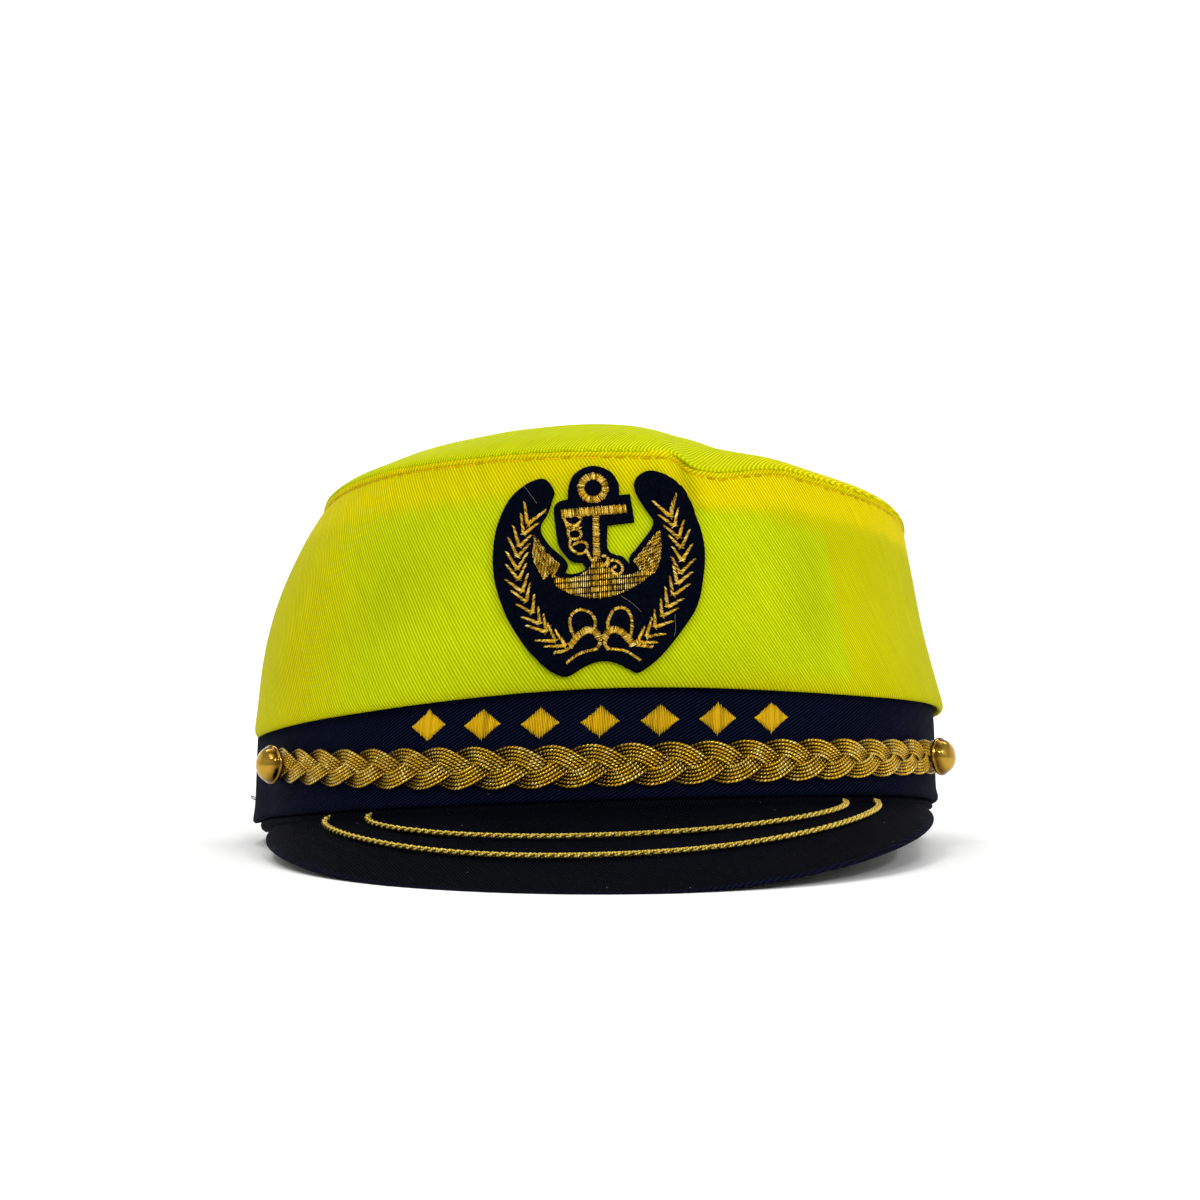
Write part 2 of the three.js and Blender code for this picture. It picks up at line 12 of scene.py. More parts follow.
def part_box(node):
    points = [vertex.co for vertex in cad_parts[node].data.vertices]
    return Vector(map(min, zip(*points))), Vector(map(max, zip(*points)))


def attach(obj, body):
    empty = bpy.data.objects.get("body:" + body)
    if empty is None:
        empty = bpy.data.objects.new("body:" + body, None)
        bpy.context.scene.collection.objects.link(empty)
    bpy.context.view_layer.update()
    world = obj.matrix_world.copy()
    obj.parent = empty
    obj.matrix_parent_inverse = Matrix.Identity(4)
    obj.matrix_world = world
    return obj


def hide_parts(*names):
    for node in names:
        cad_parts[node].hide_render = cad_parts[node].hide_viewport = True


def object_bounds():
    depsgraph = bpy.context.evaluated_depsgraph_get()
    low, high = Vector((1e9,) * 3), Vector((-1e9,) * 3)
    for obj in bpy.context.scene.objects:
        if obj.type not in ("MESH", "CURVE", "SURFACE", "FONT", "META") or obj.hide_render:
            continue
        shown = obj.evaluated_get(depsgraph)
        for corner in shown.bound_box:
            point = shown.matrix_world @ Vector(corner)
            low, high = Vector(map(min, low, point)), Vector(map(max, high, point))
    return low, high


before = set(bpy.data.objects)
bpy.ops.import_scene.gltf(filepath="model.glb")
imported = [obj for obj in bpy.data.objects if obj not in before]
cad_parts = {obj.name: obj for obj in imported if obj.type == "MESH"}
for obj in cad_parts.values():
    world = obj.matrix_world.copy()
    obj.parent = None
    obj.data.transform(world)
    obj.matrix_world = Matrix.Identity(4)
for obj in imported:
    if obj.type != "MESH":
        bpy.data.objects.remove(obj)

bl_info = {
    "name": "Captain hat",
    "version": (1, 0, 0),
    "blender": (4, 5, 0),
    "location": "View3D > Sidebar > Captain hat",
    "description": "Dresses the model of a captain hat in cloth, braid, buttons and an embroidered badge",
    "category": "Object",
}

CAD_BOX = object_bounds()
BODY = "root"
MM = 0.001
CLOSE = 1e-6
FULL_TURN = 360.0


def colour(red, green, blue):
    """A display colour of 0 to 255 as the linear colour with alpha that a shader takes."""
    parts = [c / 255 for c in (red, green, blue)]
    return [c / 12.92 if c <= 0.04045 else ((c + 0.055) / 1.055) ** 2.4 for c in parts] + [1.0]


def length_prop(name, description, default):
    return bpy.props.FloatProperty(
        name=name, description=description, default=default, precision=5, unit="LENGTH"
    )


def angle_prop(name, description, degrees):
    return bpy.props.FloatProperty(
        name=name, description=description, default=math.radians(degrees), unit="ROTATION"
    )


def colour_prop(name, description, default):
    return bpy.props.FloatVectorProperty(
        name=name, description=description, default=default, size=4, subtype="COLOR", min=0, max=1
    )


class HatShape(bpy.types.PropertyGroup):
    """The hat's own sizes, as its model has them."""

    band_width: length_prop("Band width", "The band from side to side", 0.196)
    band_length: length_prop("Band length", "The band from front to back", 0.179)
    band_height: length_prop("Band height", "The band from its lower edge to the crown", 0.031)
    band_wall: length_prop("Band wall", "How thick the band is", 0.0024)
    hem_height: length_prop("Hem height", "The rolled hem at the band's lower edge", 0.004)
    hem_swell: length_prop("Hem swell", "How far the hem stands out from the band", 0.0009)
    tilt: angle_prop("Tilt", "How far the resting hat leans back", 6)
    lift: length_prop("Lift", "How far the band's middle is raised at rest", 0.0088)
    side_roll: angle_prop("Side roll", "How the front rises towards the right", 1.8)
    gap: length_prop("Gap", "The clearance between neighbouring pieces", 0.0003)
    visor_corner: angle_prop("Visor corner", "Where the visor's corners lie round the band", 71)
    visor_reach: length_prop("Visor reach", "How far the visor stands out in front", 0.047)
    visor_drop: length_prop("Visor drop", "How far the visor's front falls", 0.0235)
    visor_corner_drop: length_prop("Visor corner drop", "How far the visor's corners fall", 0.0032)
    visor_crown: length_prop("Visor crown", "How far the visor arches between band and edge", 0.0014)
    braid_centre: length_prop("Braid centre", "The braid's middle above the band's lower edge", 0.0091)
    braid_rise_left: length_prop("Braid rise left", "How far the braid climbs to the left button", 0.0054)
    braid_rise_right: length_prop("Braid rise right", "How far the braid climbs to the right button", 0.0024)
    button_left: angle_prop("Left button", "Where the left button sits round the band", -63)
    button_right: angle_prop("Right button", "Where the right button sits round the band", 70)
    braid_past: angle_prop("Braid past button", "How far the braid runs on under each button", 3.5)
    braid_height: length_prop("Braid height", "The braid across its lobes", 0.0118)
    braid_thick: length_prop("Braid thickness", "The braid where two strands cross", 0.0019)
    button_radius: length_prop("Button radius", "The button's rim", 0.0054)
    button_depth: length_prop("Button depth", "How far the button stands out", 0.0052)
    badge_width: length_prop("Badge width", "The felt badge from side to side", 0.0565)
    felt_thick: length_prop("Felt thickness", "How thick the badge's felt is", 0.0014)
    lozenge_width: length_prop("Lozenge width", "A lozenge from side to side", 0.0094)
    lozenge_height: length_prop("Lozenge height", "A lozenge from foot to tip", 0.0082)
    lozenge_span: angle_prop("Lozenge span", "How far the row runs to each side", 27)
    lozenge_clearance: length_prop("Lozenge clearance", "The row's distance from the braid", 0.0012)


class HatTrim(bpy.types.PropertyGroup):
    """Sizes of the finer trim that only the dressed hat has."""

    plait_period: length_prop("Plait period", "The length in which a strand comes back", 0.0306)
    plait_spread: length_prop("Plait spread", "How far a strand of the braid swings from its middle", 0.0033)
    plait_cords: bpy.props.IntProperty(
        name="Plait cords", description="Cords side by side in a strand", default=5
    )
    cord_radius: length_prop("Cord radius", "One gimp cord of the braid", 0.00046)
    cord_pitch: length_prop("Cord twist", "The length of one turn of a gimp cord's wrapping", 0.00094)
    edging_period: length_prop("Edging period", "The length of one repeat of the visor's cords", 0.0072)
    edging_radius: length_prop("Edging thread", "One thread of the visor's cords", 0.00037)
    seam_pitch: length_prop("Seam pitch", "From stitch to stitch along the crown's seam", 0.0033)
    seam_thread: length_prop("Seam thread", "The radius of the seam's thread", 0.0003)
    gold_thread: length_prop("Gold thread", "The radius of the embroidery's thread", 0.00013)
    gold_pitch: length_prop("Gold pitch", "From stitch to stitch in the embroidery", 0.0003)
    twill_pitch: length_prop("Twill pitch", "From rib to rib in the yellow twill", 0.0008)
    band_pitch: length_prop("Band twill pitch", "From rib to rib in the navy twill", 0.00076)
    peak_pitch: length_prop("Visor twill pitch", "From rib to rib in the visor's cloth", 0.00068)


class HatColours(bpy.types.PropertyGroup):
    """The colours of the hat's cloths, threads and metal."""

    yellow: colour_prop("Yellow", "The single cloth of the crown", colour(198, 194, 0))
    yellow_lined: colour_prop("Lined yellow", "The cloth over the stiffening", colour(191, 205, 9))
    yellow_doubled: colour_prop("Doubled yellow", "The doubled cloth below the seam", colour(228, 208, 0))
    yellow_tip: colour_prop("Tip yellow", "The cloth of the tip", colour(190, 198, 0))
    seam_yellow: colour_prop("Seam thread", "The thread of the crown's seam", colour(232, 186, 0))
    lozenge_yellow: colour_prop("Lozenge thread", "The satin stitch on the band", colour(240, 192, 4))
    # The lit copies of the navy and visor cloths are painted highlight on the tops of the twill's ribs.
    navy: colour_prop("Navy", "The furrows of the band's twill", colour(1, 2, 6))
    navy_rib_highlight: colour_prop("Navy ribs", "The ribs of the band's twill", colour(14, 21, 52))
    peak: colour_prop("Visor", "The furrows of the visor's cloth", colour(0, 0, 1))
    peak_rib_highlight: colour_prop("Visor ribs", "The ribs of the visor's cloth", colour(13, 16, 28))
    felt: colour_prop("Felt", "The badge's felt", colour(3, 5, 12))
    gold: colour_prop("Gold thread", "The gold threads' own colour", colour(228, 180, 32))
    gold_deep: colour_prop("Deep gold", "The shaded side of the gold threads", colour(44, 22, 2))
    gold_bright: colour_prop("Bright gold", "The facets that catch the light", colour(255, 240, 142))
    gold_pale: colour_prop("Pale gold", "The cords on the visor", colour(226, 198, 84))
    brass: colour_prop("Brass", "The buttons", colour(184, 145, 53))
    # Deep brass is painted shade and painted dark reflection on the buttons: at the rim's foot, in the groove
    # and low on the dome.
    brass_painted_shade: colour_prop("Deep brass", "The shading at the foot of a button's dome", colour(92, 62, 16))
    floor: colour_prop("Floor", "The pale ground", colour(244, 244, 244))


def shape():
    return bpy.context.scene.hat_shape


def trim():
    return bpy.context.scene.hat_trim


def colours():
    return bpy.context.scene.hat_colours


# Places: the hat's own coordinates have the band level, its middle at the origin and the front towards -Y


@functools.cache
def home():
    """How far the resting hat is moved from the middle of its band to the frame's origin."""
    low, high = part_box("band")
    size = shape()
    back = size.band_length / 2 * math.cos(size.tilt) + size.band_height * math.sin(size.tilt)
    if abs(high.x - low.x - size.band_width - 2 * size.hem_swell) > MM:
        raise RuntimeError("the band in the frame isn't as wide as the hat's own sizes say")
    return (low.x + high.x) / 2, high.y - back


def settle(points):
    """Points in the hat's own coordinates as they lie when the hat rests in the frame."""
    size = shape()
    x, y, z = np.moveaxis(np.asarray(points, float), -1, 0)
    z = z + x * math.tan(size.side_roll) * front_share(y)
    shift_x, shift_y = home()
    along = y * math.cos(size.tilt) + z * math.sin(size.tilt)
    up = z * math.cos(size.tilt) - y * math.sin(size.tilt) + size.lift
    return np.stack([x + shift_x, along + shift_y, np.maximum(up, 0)], -1)


def unsettle(points):
    """Points of the resting hat in the hat's own coordinates."""
    size = shape()
    shift_x, shift_y = home()
    x, y, z = np.moveaxis(np.asarray(points, float), -1, 0)
    x = x - shift_x
    y = y - shift_y
    z = z - size.lift
    along = y * math.cos(size.tilt) - z * math.sin(size.tilt)
    up = y * math.sin(size.tilt) + z * math.cos(size.tilt)
    return np.stack([x, along, up - x * math.tan(size.side_roll) * front_share(along)], -1)


def front_share(y):
    """1 at the hat's front and 0 at its back, with a soft change between."""
    half = shape().band_length / 2
    t = np.clip((y + half / 2) / (half * 7 / 6), 0, 1)
    return 1 - t * t * (3 - 2 * t)


def out_of_band(angle):
    """The band's outward direction at angles in degrees from the front, positive towards +X."""
    size = shape()
    turn = np.radians(angle)
    normal = np.stack([np.sin(turn) / size.band_width, -np.cos(turn) / size.band_length], -1)
    return normal / np.linalg.norm(normal, axis=-1, keepdims=True)


def on_band(angle, out, height):
    """Points of the band's outer face in the hat's own coordinates, pushed out and at a height."""
    size = shape()
    angle, out, height = np.broadcast_arrays(*(np.asarray(a, float) for a in (angle, out, height)))
    turn = np.radians(angle)
    normal = out_of_band(angle)
    x = size.band_width / 2 * np.sin(turn) + out * normal[..., 0]
    y = -size.band_length / 2 * np.cos(turn) + out * normal[..., 1]
    return np.stack([x, y, height], -1)


def angle_round(points):
    """The angle round the band, in degrees from the front, of points in the hat's own coordinates."""
    size = shape()
    return np.degrees(np.arctan2(points[..., 0] / size.band_width, -points[..., 1] / size.band_length))


def mean_radius():
    return (shape().band_width + shape().band_length) / 4


def bell(distance, spread):
    return np.exp(-((distance / spread) ** 2))


def ramp(value, start, end):
    t = np.clip((value - start) / (end - start), 0, 1)
    return t * t * (3 - 2 * t)


def curve_between(a, b, c, d, t):
    """The place from b to c, at a share t of the way, on the smooth curve through four values."""
    return b + 0.5 * t * (c - a + t * (2 * a - 5 * b + 4 * c - d + t * (3 * (b - c) + d - a)))


def run_along(path):
    """The length along a path at each of its points."""
    return np.concatenate([[0], np.cumsum(np.linalg.norm(np.diff(path, axis=0), axis=1))])


def turned(direction, turn):
    """A flat direction turned by an angle in radians."""
    x, y = direction
    return np.array([x * math.cos(turn) - y * math.sin(turn), x * math.sin(turn) + y * math.cos(turn)])


def smooth_route(points, step, closed=False):
    """A smooth curve through a few chosen points, as points a step apart."""
    points = np.asarray(points, float)
    if closed:
        padded = np.concatenate([points[-1:], points, points[:2]])
    else:
        padded = np.concatenate([2 * points[:1] - points[1:2], points, 2 * points[-1:] - points[-2:-1]])
    fine = []
    t = np.linspace(0, 1, 12, endpoint=False)[:, None]
    for a, b, c, d in zip(padded, padded[1:], padded[2:], padded[3:]):
        fine.append(curve_between(a, b, c, d, t))
    fine = np.concatenate(fine + [padded[-2:-1]])
    run = run_along(fine)
    count = max(2, int(round(run[-1] / step)) + 1)
    places = np.linspace(0, run[-1], count)
    return np.stack([np.interp(places, run, fine[:, k]) for k in range(fine.shape[1])], -1)


# Pieces


def make_piece(name, mesh, material, nodes=()):
    """A finished piece of the hat: it rides on the hat's one body and stands for its nodes."""
    piece = bpy.data.objects.new(name, mesh)
    bpy.context.scene.collection.objects.link(piece)
    mesh.materials.clear()
    mesh.materials.append(material)
    mesh.shade_smooth()
    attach(piece, BODY)
    if nodes:
        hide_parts(*nodes)
    return piece


def mesh_from(bm, name):
    mesh = bpy.data.meshes.new(name)
    bm.to_mesh(mesh)
    bm.free()
    return mesh


def evaluated(mesh, setup):
    """The mesh after the modifiers that setup adds to a passing object."""
    holder = bpy.data.objects.new("holder", mesh)
    bpy.context.scene.collection.objects.link(holder)
    setup(holder)
    graph = bpy.context.evaluated_depsgraph_get()
    result = bpy.data.meshes.new_from_object(holder.evaluated_get(graph))
    bpy.data.objects.remove(holder)
    return result


def rounded(mesh, levels):
    """The mesh with its corners rounded by subdivision."""

    def setup(holder):
        modifier = holder.modifiers.new("Round", "SUBSURF")
        modifier.levels = levels
        modifier.render_levels = levels

    return evaluated(mesh, setup)


def copied_node(node):
    """A CAD node's loose triangles as one skin of quads."""
    bm = bmesh.new()
    bm.from_mesh(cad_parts[node].data)
    bmesh.ops.remove_doubles(bm, verts=bm.verts, dist=CLOSE)
    bmesh.ops.join_triangles(
        bm,
        faces=bm.faces,
        angle_face_threshold=math.radians(50),
        angle_shape_threshold=math.radians(70),
    )
    for face in bm.faces:
        face.smooth = True
    return mesh_from(bm, node)


def read_points(mesh):
    points = np.empty(len(mesh.vertices) * 3)
    mesh.vertices.foreach_get("co", points)
    return points.reshape(-1, 3)


def write_points(mesh, points):
    mesh.vertices.foreach_set("co", np.ascontiguousarray(points, dtype=np.float32).ravel())
    mesh.update()


def write_layer(mesh, name, values):
    """Keeps one number for each vertex as an attribute that a material can read."""
    layer = mesh.attributes.get(name) or mesh.attributes.new(name, "FLOAT", "POINT")
    layer.data.foreach_set("value", np.asarray(values, np.float32))


def lay_map(mesh, points, wrap=0.0):
    """A UV map in metres from a pair for each vertex; wrap is the length at which the first one repeats."""
    while mesh.uv_layers:
        mesh.uv_layers.remove(mesh.uv_layers[0])
    layer = mesh.uv_layers.new(name="UVMap")
    corners = np.empty(len(mesh.loops), int)
    mesh.loops.foreach_get("vertex_index", corners)
    pairs = np.asarray(points, float)[corners].copy()
    if wrap:
        starts = np.empty(len(mesh.polygons), int)
        totals = np.empty(len(mesh.polygons), int)
        mesh.polygons.foreach_get("loop_start", starts)
        mesh.polygons.foreach_get("loop_total", totals)
        first = np.repeat(pairs[starts, 0], totals)
        pairs[:, 0] -= np.round((pairs[:, 0] - first) / wrap) * wrap
    layer.data.foreach_set("uv", pairs.astype(np.float32).ravel())


def tubes(name, paths, radius, sides=8, closed=False, swells=None):
    """Round cords along paths, as one mesh whose map runs along each cord in metres.

    Swells, where given, are the shares of the radius at each path's points.
    """
    curve = bpy.data.curves.new(name, "CURVE")
    curve.dimensions = "3D"
    curve.bevel_depth = radius
    curve.bevel_resolution = (sides - 4) // 2
    curve.use_fill_caps = not closed
    for i, path in enumerate(paths):
        spline = curve.splines.new("POLY")
        spline.points.add(len(path) - 1)
        spline.points.foreach_set("co", np.column_stack([path, np.ones(len(path))]).ravel())
        if swells is not None:
            spline.points.foreach_set("radius", swells[i])
        spline.use_cyclic_u = closed
    mesh = evaluated(curve, lambda holder: None)
    run = np.mean([run_along(path)[-1] for path in paths])
    layer = mesh.uv_layers[0].data
    pairs = np.empty(len(layer) * 2, np.float32)
    layer.foreach_get("uv", pairs)
    pairs = pairs.reshape(-1, 2) * np.array([run, 2 * math.pi * radius])
    layer.foreach_set("uv", pairs.astype(np.float32).ravel())
    bm = bmesh.new()
    bm.from_mesh(mesh)
    bmesh.ops.remove_doubles(bm, verts=bm.verts, dist=CLOSE)
    bm.to_mesh(mesh)
    bm.free()
    return mesh


def strewn(name, unit, places, tones):
    """A copy of the unit mesh at each placing matrix, as one mesh that keeps a tone for each copy."""
    base = read_points(unit)
    places = np.asarray(places, float)
    count = len(places)
    points = np.einsum("nij,vj->nvi", places[:, :3, :3], base) + places[:, None, :3, 3]
    loops = np.empty(len(unit.loops), int)
    unit.loops.foreach_get("vertex_index", loops)
    totals = np.empty(len(unit.polygons), int)
    unit.polygons.foreach_get("loop_total", totals)
    mesh = bpy.data.meshes.new(name)
    mesh.vertices.add(count * len(base))
    mesh.loops.add(count * len(loops))
    mesh.polygons.add(count * len(totals))
    offsets = np.arange(count)[:, None] * len(base)
    mesh.loops.foreach_set("vertex_index", (loops[None] + offsets).ravel())
    all_totals = np.tile(totals, count)
    mesh.polygons.foreach_set("loop_start", np.concatenate([[0], np.cumsum(all_totals)[:-1]]))
    mesh.polygons.foreach_set("loop_total", all_totals)
    mesh.vertices.foreach_set("co", points.astype(np.float32).ravel())
    mesh.update(calc_edges=True)
    mesh.validate()
    write_layer(mesh, "tone", np.repeat(tones, len(base)))
    return mesh


STITCH_BLUNTNESS = 0.7


def thread_unit():
    """One stitch of unit half length along X and unit radius, with blunt ends."""
    bm = bmesh.new()
    lying = Matrix.Rotation(math.pi / 2, 4, "Y")
    bmesh.ops.create_uvsphere(bm, u_segments=6, v_segments=5, radius=1, matrix=lying)
    for vertex in bm.verts:
        vertex.co.x = math.copysign(abs(vertex.co.x) ** STITCH_BLUNTNESS, vertex.co.x)
    return mesh_from(bm, "stitch")


def stitch_place(start, end, out, radius, plump=1.0):
    """The matrix that lays a unit stitch from start to end with its plump side along out."""
    run = end - start
    half = np.linalg.norm(run) / 2
    along = run / (2 * half)
    across = np.cross(out, along)
    across /= np.linalg.norm(across)
    up = np.cross(along, across)
    place = np.eye(4)
    place[:3, 0] = along * half
    place[:3, 1] = across * radius
    place[:3, 2] = up * radius * plump
    place[:3, 3] = (start + end) / 2
    return place


# Shader helpers


def new_material(name):
    material = bpy.data.materials.new(name)
    material.use_nodes = True
    tree = material.node_tree
    return material, tree, tree.nodes["Principled BSDF"]


def add(tree, kind, inputs=None, **settings):
    """A node with its settings, and its inputs set to values or linked to other nodes' outputs."""
    made = tree.nodes.new(kind)
    for key, value in settings.items():
        setattr(made, key, value)
    for key, value in (inputs or {}).items():
        if isinstance(value, bpy.types.NodeSocket):
            tree.links.new(value, made.inputs[key])
        else:
            made.inputs[key].default_value = value
    return made


def calc(tree, operation, first, second=0.0, third=0.0, clamp=False):
    made = add(tree, "ShaderNodeMath", {0: first, 1: second, 2: third}, operation=operation, use_clamp=clamp)
    return made.outputs[0]


def times(tree, first, second, clamp=False):
    return calc(tree, "MULTIPLY", first, second, clamp=clamp)


def scaled(tree, value, factor, offset, clamp=False):
    """A value times a factor plus an offset."""
    return calc(tree, "MULTIPLY_ADD", value, factor, offset, clamp=clamp)


def blend_colour(tree, share, first, second, mode="MIX"):
    inputs = {0: share, 6: as_input(first), 7: as_input(second)}
    return add(tree, "ShaderNodeMix", data_type="RGBA", blend_type=mode, inputs=inputs).outputs[2]


def as_input(value):
    """A socket as it is, and a colour as the plain list that a socket takes."""
    return value if isinstance(value, bpy.types.NodeSocket) else list(value)


def kept_layer(tree, name):
    """The number that a mesh keeps at each vertex under a name."""
    return add(tree, "ShaderNodeAttribute", attribute_name=name).outputs["Fac"]


def grain_of(tree, where, scale, detail, **inputs):
    """A noise over places in metres, with any further inputs by name."""
    found = add(tree, "ShaderNodeTexNoise", {"Vector": where, "Scale": scale, "Detail": detail, **inputs})
    return found.outputs["Fac"]


VECTOR = "NodeSocketVector"
NUMBER = "NodeSocketFloat"


def new_group(name, inputs, outputs):
    """An empty shader group with named sockets; returns it with its two end nodes."""
    group = bpy.data.node_groups.new(name, "ShaderNodeTree")
    for label, kind, default in inputs:
        socket = group.interface.new_socket(label, in_out="INPUT", socket_type=kind)
        if default is not None:
            socket.default_value = default
    for label, kind in outputs:
        group.interface.new_socket(label, in_out="OUTPUT", socket_type=kind)
    return group, group.nodes.new("NodeGroupInput"), group.nodes.new("NodeGroupOutput")


def use_group(tree, name, inputs):
    return add(tree, "ShaderNodeGroup", inputs, node_tree=bpy.data.node_groups[name]).outputs


def close_group(group, end, results):
    for label, value in results.items():
        group.links.new(value, end.inputs[label])


def wave_share(tree, phase):
    """A sine of a phase in radians as a share from 0 to 1."""
    return scaled(tree, calc(tree, "SINE", phase), 0.5, 0.5)


WEFT_PITCH = 0.62
WEFT_SHIFT = 3.1
RIB_DRIFT = 0.9
SLUB_STRETCH = 0.12
WRAP_ROUNDNESS = 0.6
SPECK_REACH = 0.035
SPECK_RARITY = 0.56


def build_twill_group():
    """Diagonal ribs crossed by a finer weft.

    Pitch is in metres, Angle in radians from the map's first axis.
    """
    group, start, end = new_group(
        "Twill",
        [("Map", VECTOR, None), ("Pitch", NUMBER, 0.0007), ("Angle", NUMBER, 1.0)],
        [("Rib", NUMBER), ("Weave", NUMBER), ("Slub", NUMBER)],
    )
    place = start.outputs["Map"]
    pitch = start.outputs["Pitch"]
    split = add(group, "ShaderNodeSeparateXYZ", {0: place}).outputs
    sine = calc(group, "SINE", start.outputs["Angle"])
    cosine = calc(group, "COSINE", start.outputs["Angle"])
    across = calc(group, "SUBTRACT", times(group, split[1], cosine), times(group, split[0], sine))
    along = calc(group, "ADD", times(group, split[0], cosine), times(group, split[1], sine))
    drift = times(group, grain_of(group, place, 260.0, 2.0), RIB_DRIFT)
    turns = calc(group, "DIVIDE", across, pitch)
    picks = calc(group, "DIVIDE", along, times(group, pitch, WEFT_PITCH))
    shift = times(group, turns, WEFT_SHIFT)
    stretched = add(group, "ShaderNodeCombineXYZ", {0: times(group, along, SLUB_STRETCH), 1: across})
    close_group(group, end, {
        "Rib": wave_share(group, scaled(group, turns, 2 * math.pi, drift)),
        "Weave": wave_share(group, scaled(group, picks, 2 * math.pi, shift)),
        "Slub": grain_of(group, stretched.outputs[0], 700.0, 3.0),
    })


def build_wrap_group():
    """The slanting turns of a wrapped or twisted thread, from a map that runs along it in metres."""
    group, start, end = new_group(
        "Wrap",
        [("Map", VECTOR, None), ("Pitch", NUMBER, 0.0008), ("Girth", NUMBER, 0.003)],
        [("Turn", NUMBER), ("Fleck", NUMBER)],
    )
    place = start.outputs["Map"]
    split = add(group, "ShaderNodeSeparateXYZ", {0: place}).outputs
    along = calc(group, "DIVIDE", split[0], start.outputs["Pitch"])
    around = calc(group, "DIVIDE", split[1], start.outputs["Girth"])
    wave = wave_share(group, times(group, calc(group, "ADD", along, around), 2 * math.pi))
    close_group(group, end, {
        "Turn": calc(group, "POWER", wave, WRAP_ROUNDNESS),
        "Fleck": grain_of(group, place, 2600.0, 2.0),
    })


def build_dust_group():
    """Soft uneven tone and a few pale specks of lint, from a position in metres."""
    group, start, end = new_group(
        "Dust", [("Position", VECTOR, None), ("Patch", NUMBER, 40.0)], [("Tone", NUMBER), ("Speck", NUMBER)]
    )
    place = start.outputs["Position"]
    cells = add(group, "ShaderNodeTexVoronoi", {"Vector": place, "Scale": 210.0})
    near = calc(group, "LESS_THAN", cells.outputs["Distance"], SPECK_REACH)
    few = calc(group, "GREATER_THAN", grain_of(group, place, 190.0, 0.0), SPECK_RARITY)
    close_group(group, end, {
        "Tone": grain_of(group, place, start.outputs["Patch"], 4.0, Roughness=0.55),
        "Speck": times(group, near, few),
    })


def build_groups():
    build_twill_group()
    build_wrap_group()
    build_dust_group()


# How deep the finest relief of each surface is
TWILL_RELIEF = 0.16 * MM
FELT_RELIEF = 0.25 * MM
CORD_RELIEF = 0.3 * MM
STITCH_RELIEF = 0.06 * MM
THREAD_RELIEF = 0.05 * MM
BRASS_RELIEF = 0.04 * MM

BINDING_PITCH = 1.3
BINDING_TURN = 62
FELT_NAP_LIGHT = 6.0
THREAD_SHADE = 0.42
GROUND_SHADE = 0.985
LINT = colour(112, 114, 120)
FELT_LINT = colour(120, 124, 130)


def ribbed(tree, where, pitch, degrees):
    return use_group(tree, "Twill", {"Map": where["UV"], "Pitch": pitch, "Angle": math.radians(degrees)})


def dusted(tree, where, patch):
    return use_group(tree, "Dust", {"Position": where["Object"], "Patch": patch})


def shades_of(base, factor):
    """A colour with its light taken times a factor."""
    return [c * factor for c in base[:3]] + [1.0]


def bumped(tree, shader, height, distance, strength=1.0):
    inputs = {"Height": height, "Distance": distance, "Strength": strength}
    bump = add(tree, "ShaderNodeBump", inputs)
    tree.links.new(bump.outputs[0], shader.inputs["Normal"])


def yellow_twill(name, base, angle):
    """Bright polyester twill: fine ribs, a soft sheen, the tones of lined and doubled cloth and painted shade
    where the shaded attribute marks it.
    """
    material, tree, shader = new_material(name)
    tones = colours()
    where = add(tree, "ShaderNodeTexCoord").outputs
    twill = ribbed(tree, where, trim().twill_pitch, angle)
    dust = dusted(tree, where, 28.0)
    lined = kept_layer(tree, "lined")
    doubled = kept_layer(tree, "doubled")
    shaded = kept_layer(tree, "shaded")
    cloth = blend_colour(tree, lined, base, tones.yellow_lined)
    cloth = blend_colour(tree, doubled, cloth, tones.yellow_doubled)
    uneven = scaled(tree, dust["Tone"], 0.22, 0.89)
    # The rib and pick waves darken the furrows and lighten the ribs: the weave's own pattern together with
    # painted shade and painted highlight.
    ribs = scaled(tree, twill["Rib"], 0.54, 0.62)
    picks = scaled(tree, twill["Weave"], 0.3, 0.83)
    threads = scaled(tree, twill["Slub"], 0.3, 0.87)
    weave_tone_and_shade = times(tree, times(tree, uneven, ribs), times(tree, picks, threads))
    # Painted shade: the cloth darkens where the shaded attribute marks the crown's dents, crease, foot and
    # stiffening edge.
    weave_tone_and_shade = times(tree, weave_tone_and_shade, calc(tree, "SUBTRACT", 1.0, shaded))
    toned = add(tree, "ShaderNodeCombineXYZ", {0: weave_tone_and_shade, 1: weave_tone_and_shade, 2: weave_tone_and_shade})
    cloth = blend_colour(tree, 1.0, cloth, toned.outputs[0], "MULTIPLY")
    tree.links.new(cloth, shader.inputs["Base Color"])
    rough = scaled(tree, twill["Slub"], 0.16, 0.56)
    tree.links.new(rough, shader.inputs["Roughness"])
    shader.inputs["Specular IOR Level"].default_value = 0.02
    shader.inputs["Specular Tint"].default_value = (1.0, 0.95, 0.1, 1.0)
    shader.inputs["Sheen Weight"].default_value = 0.04
    shader.inputs["Sheen Roughness"].default_value = 0.45
    shader.inputs["Sheen Tint"].default_value = (1.0, 0.96, 0.02, 1.0)
    relief = calc(tree, "ADD", twill["Rib"], times(tree, twill["Weave"], 0.35))
    bumped(tree, shader, relief, TWILL_RELIEF, 0.9)
    return material


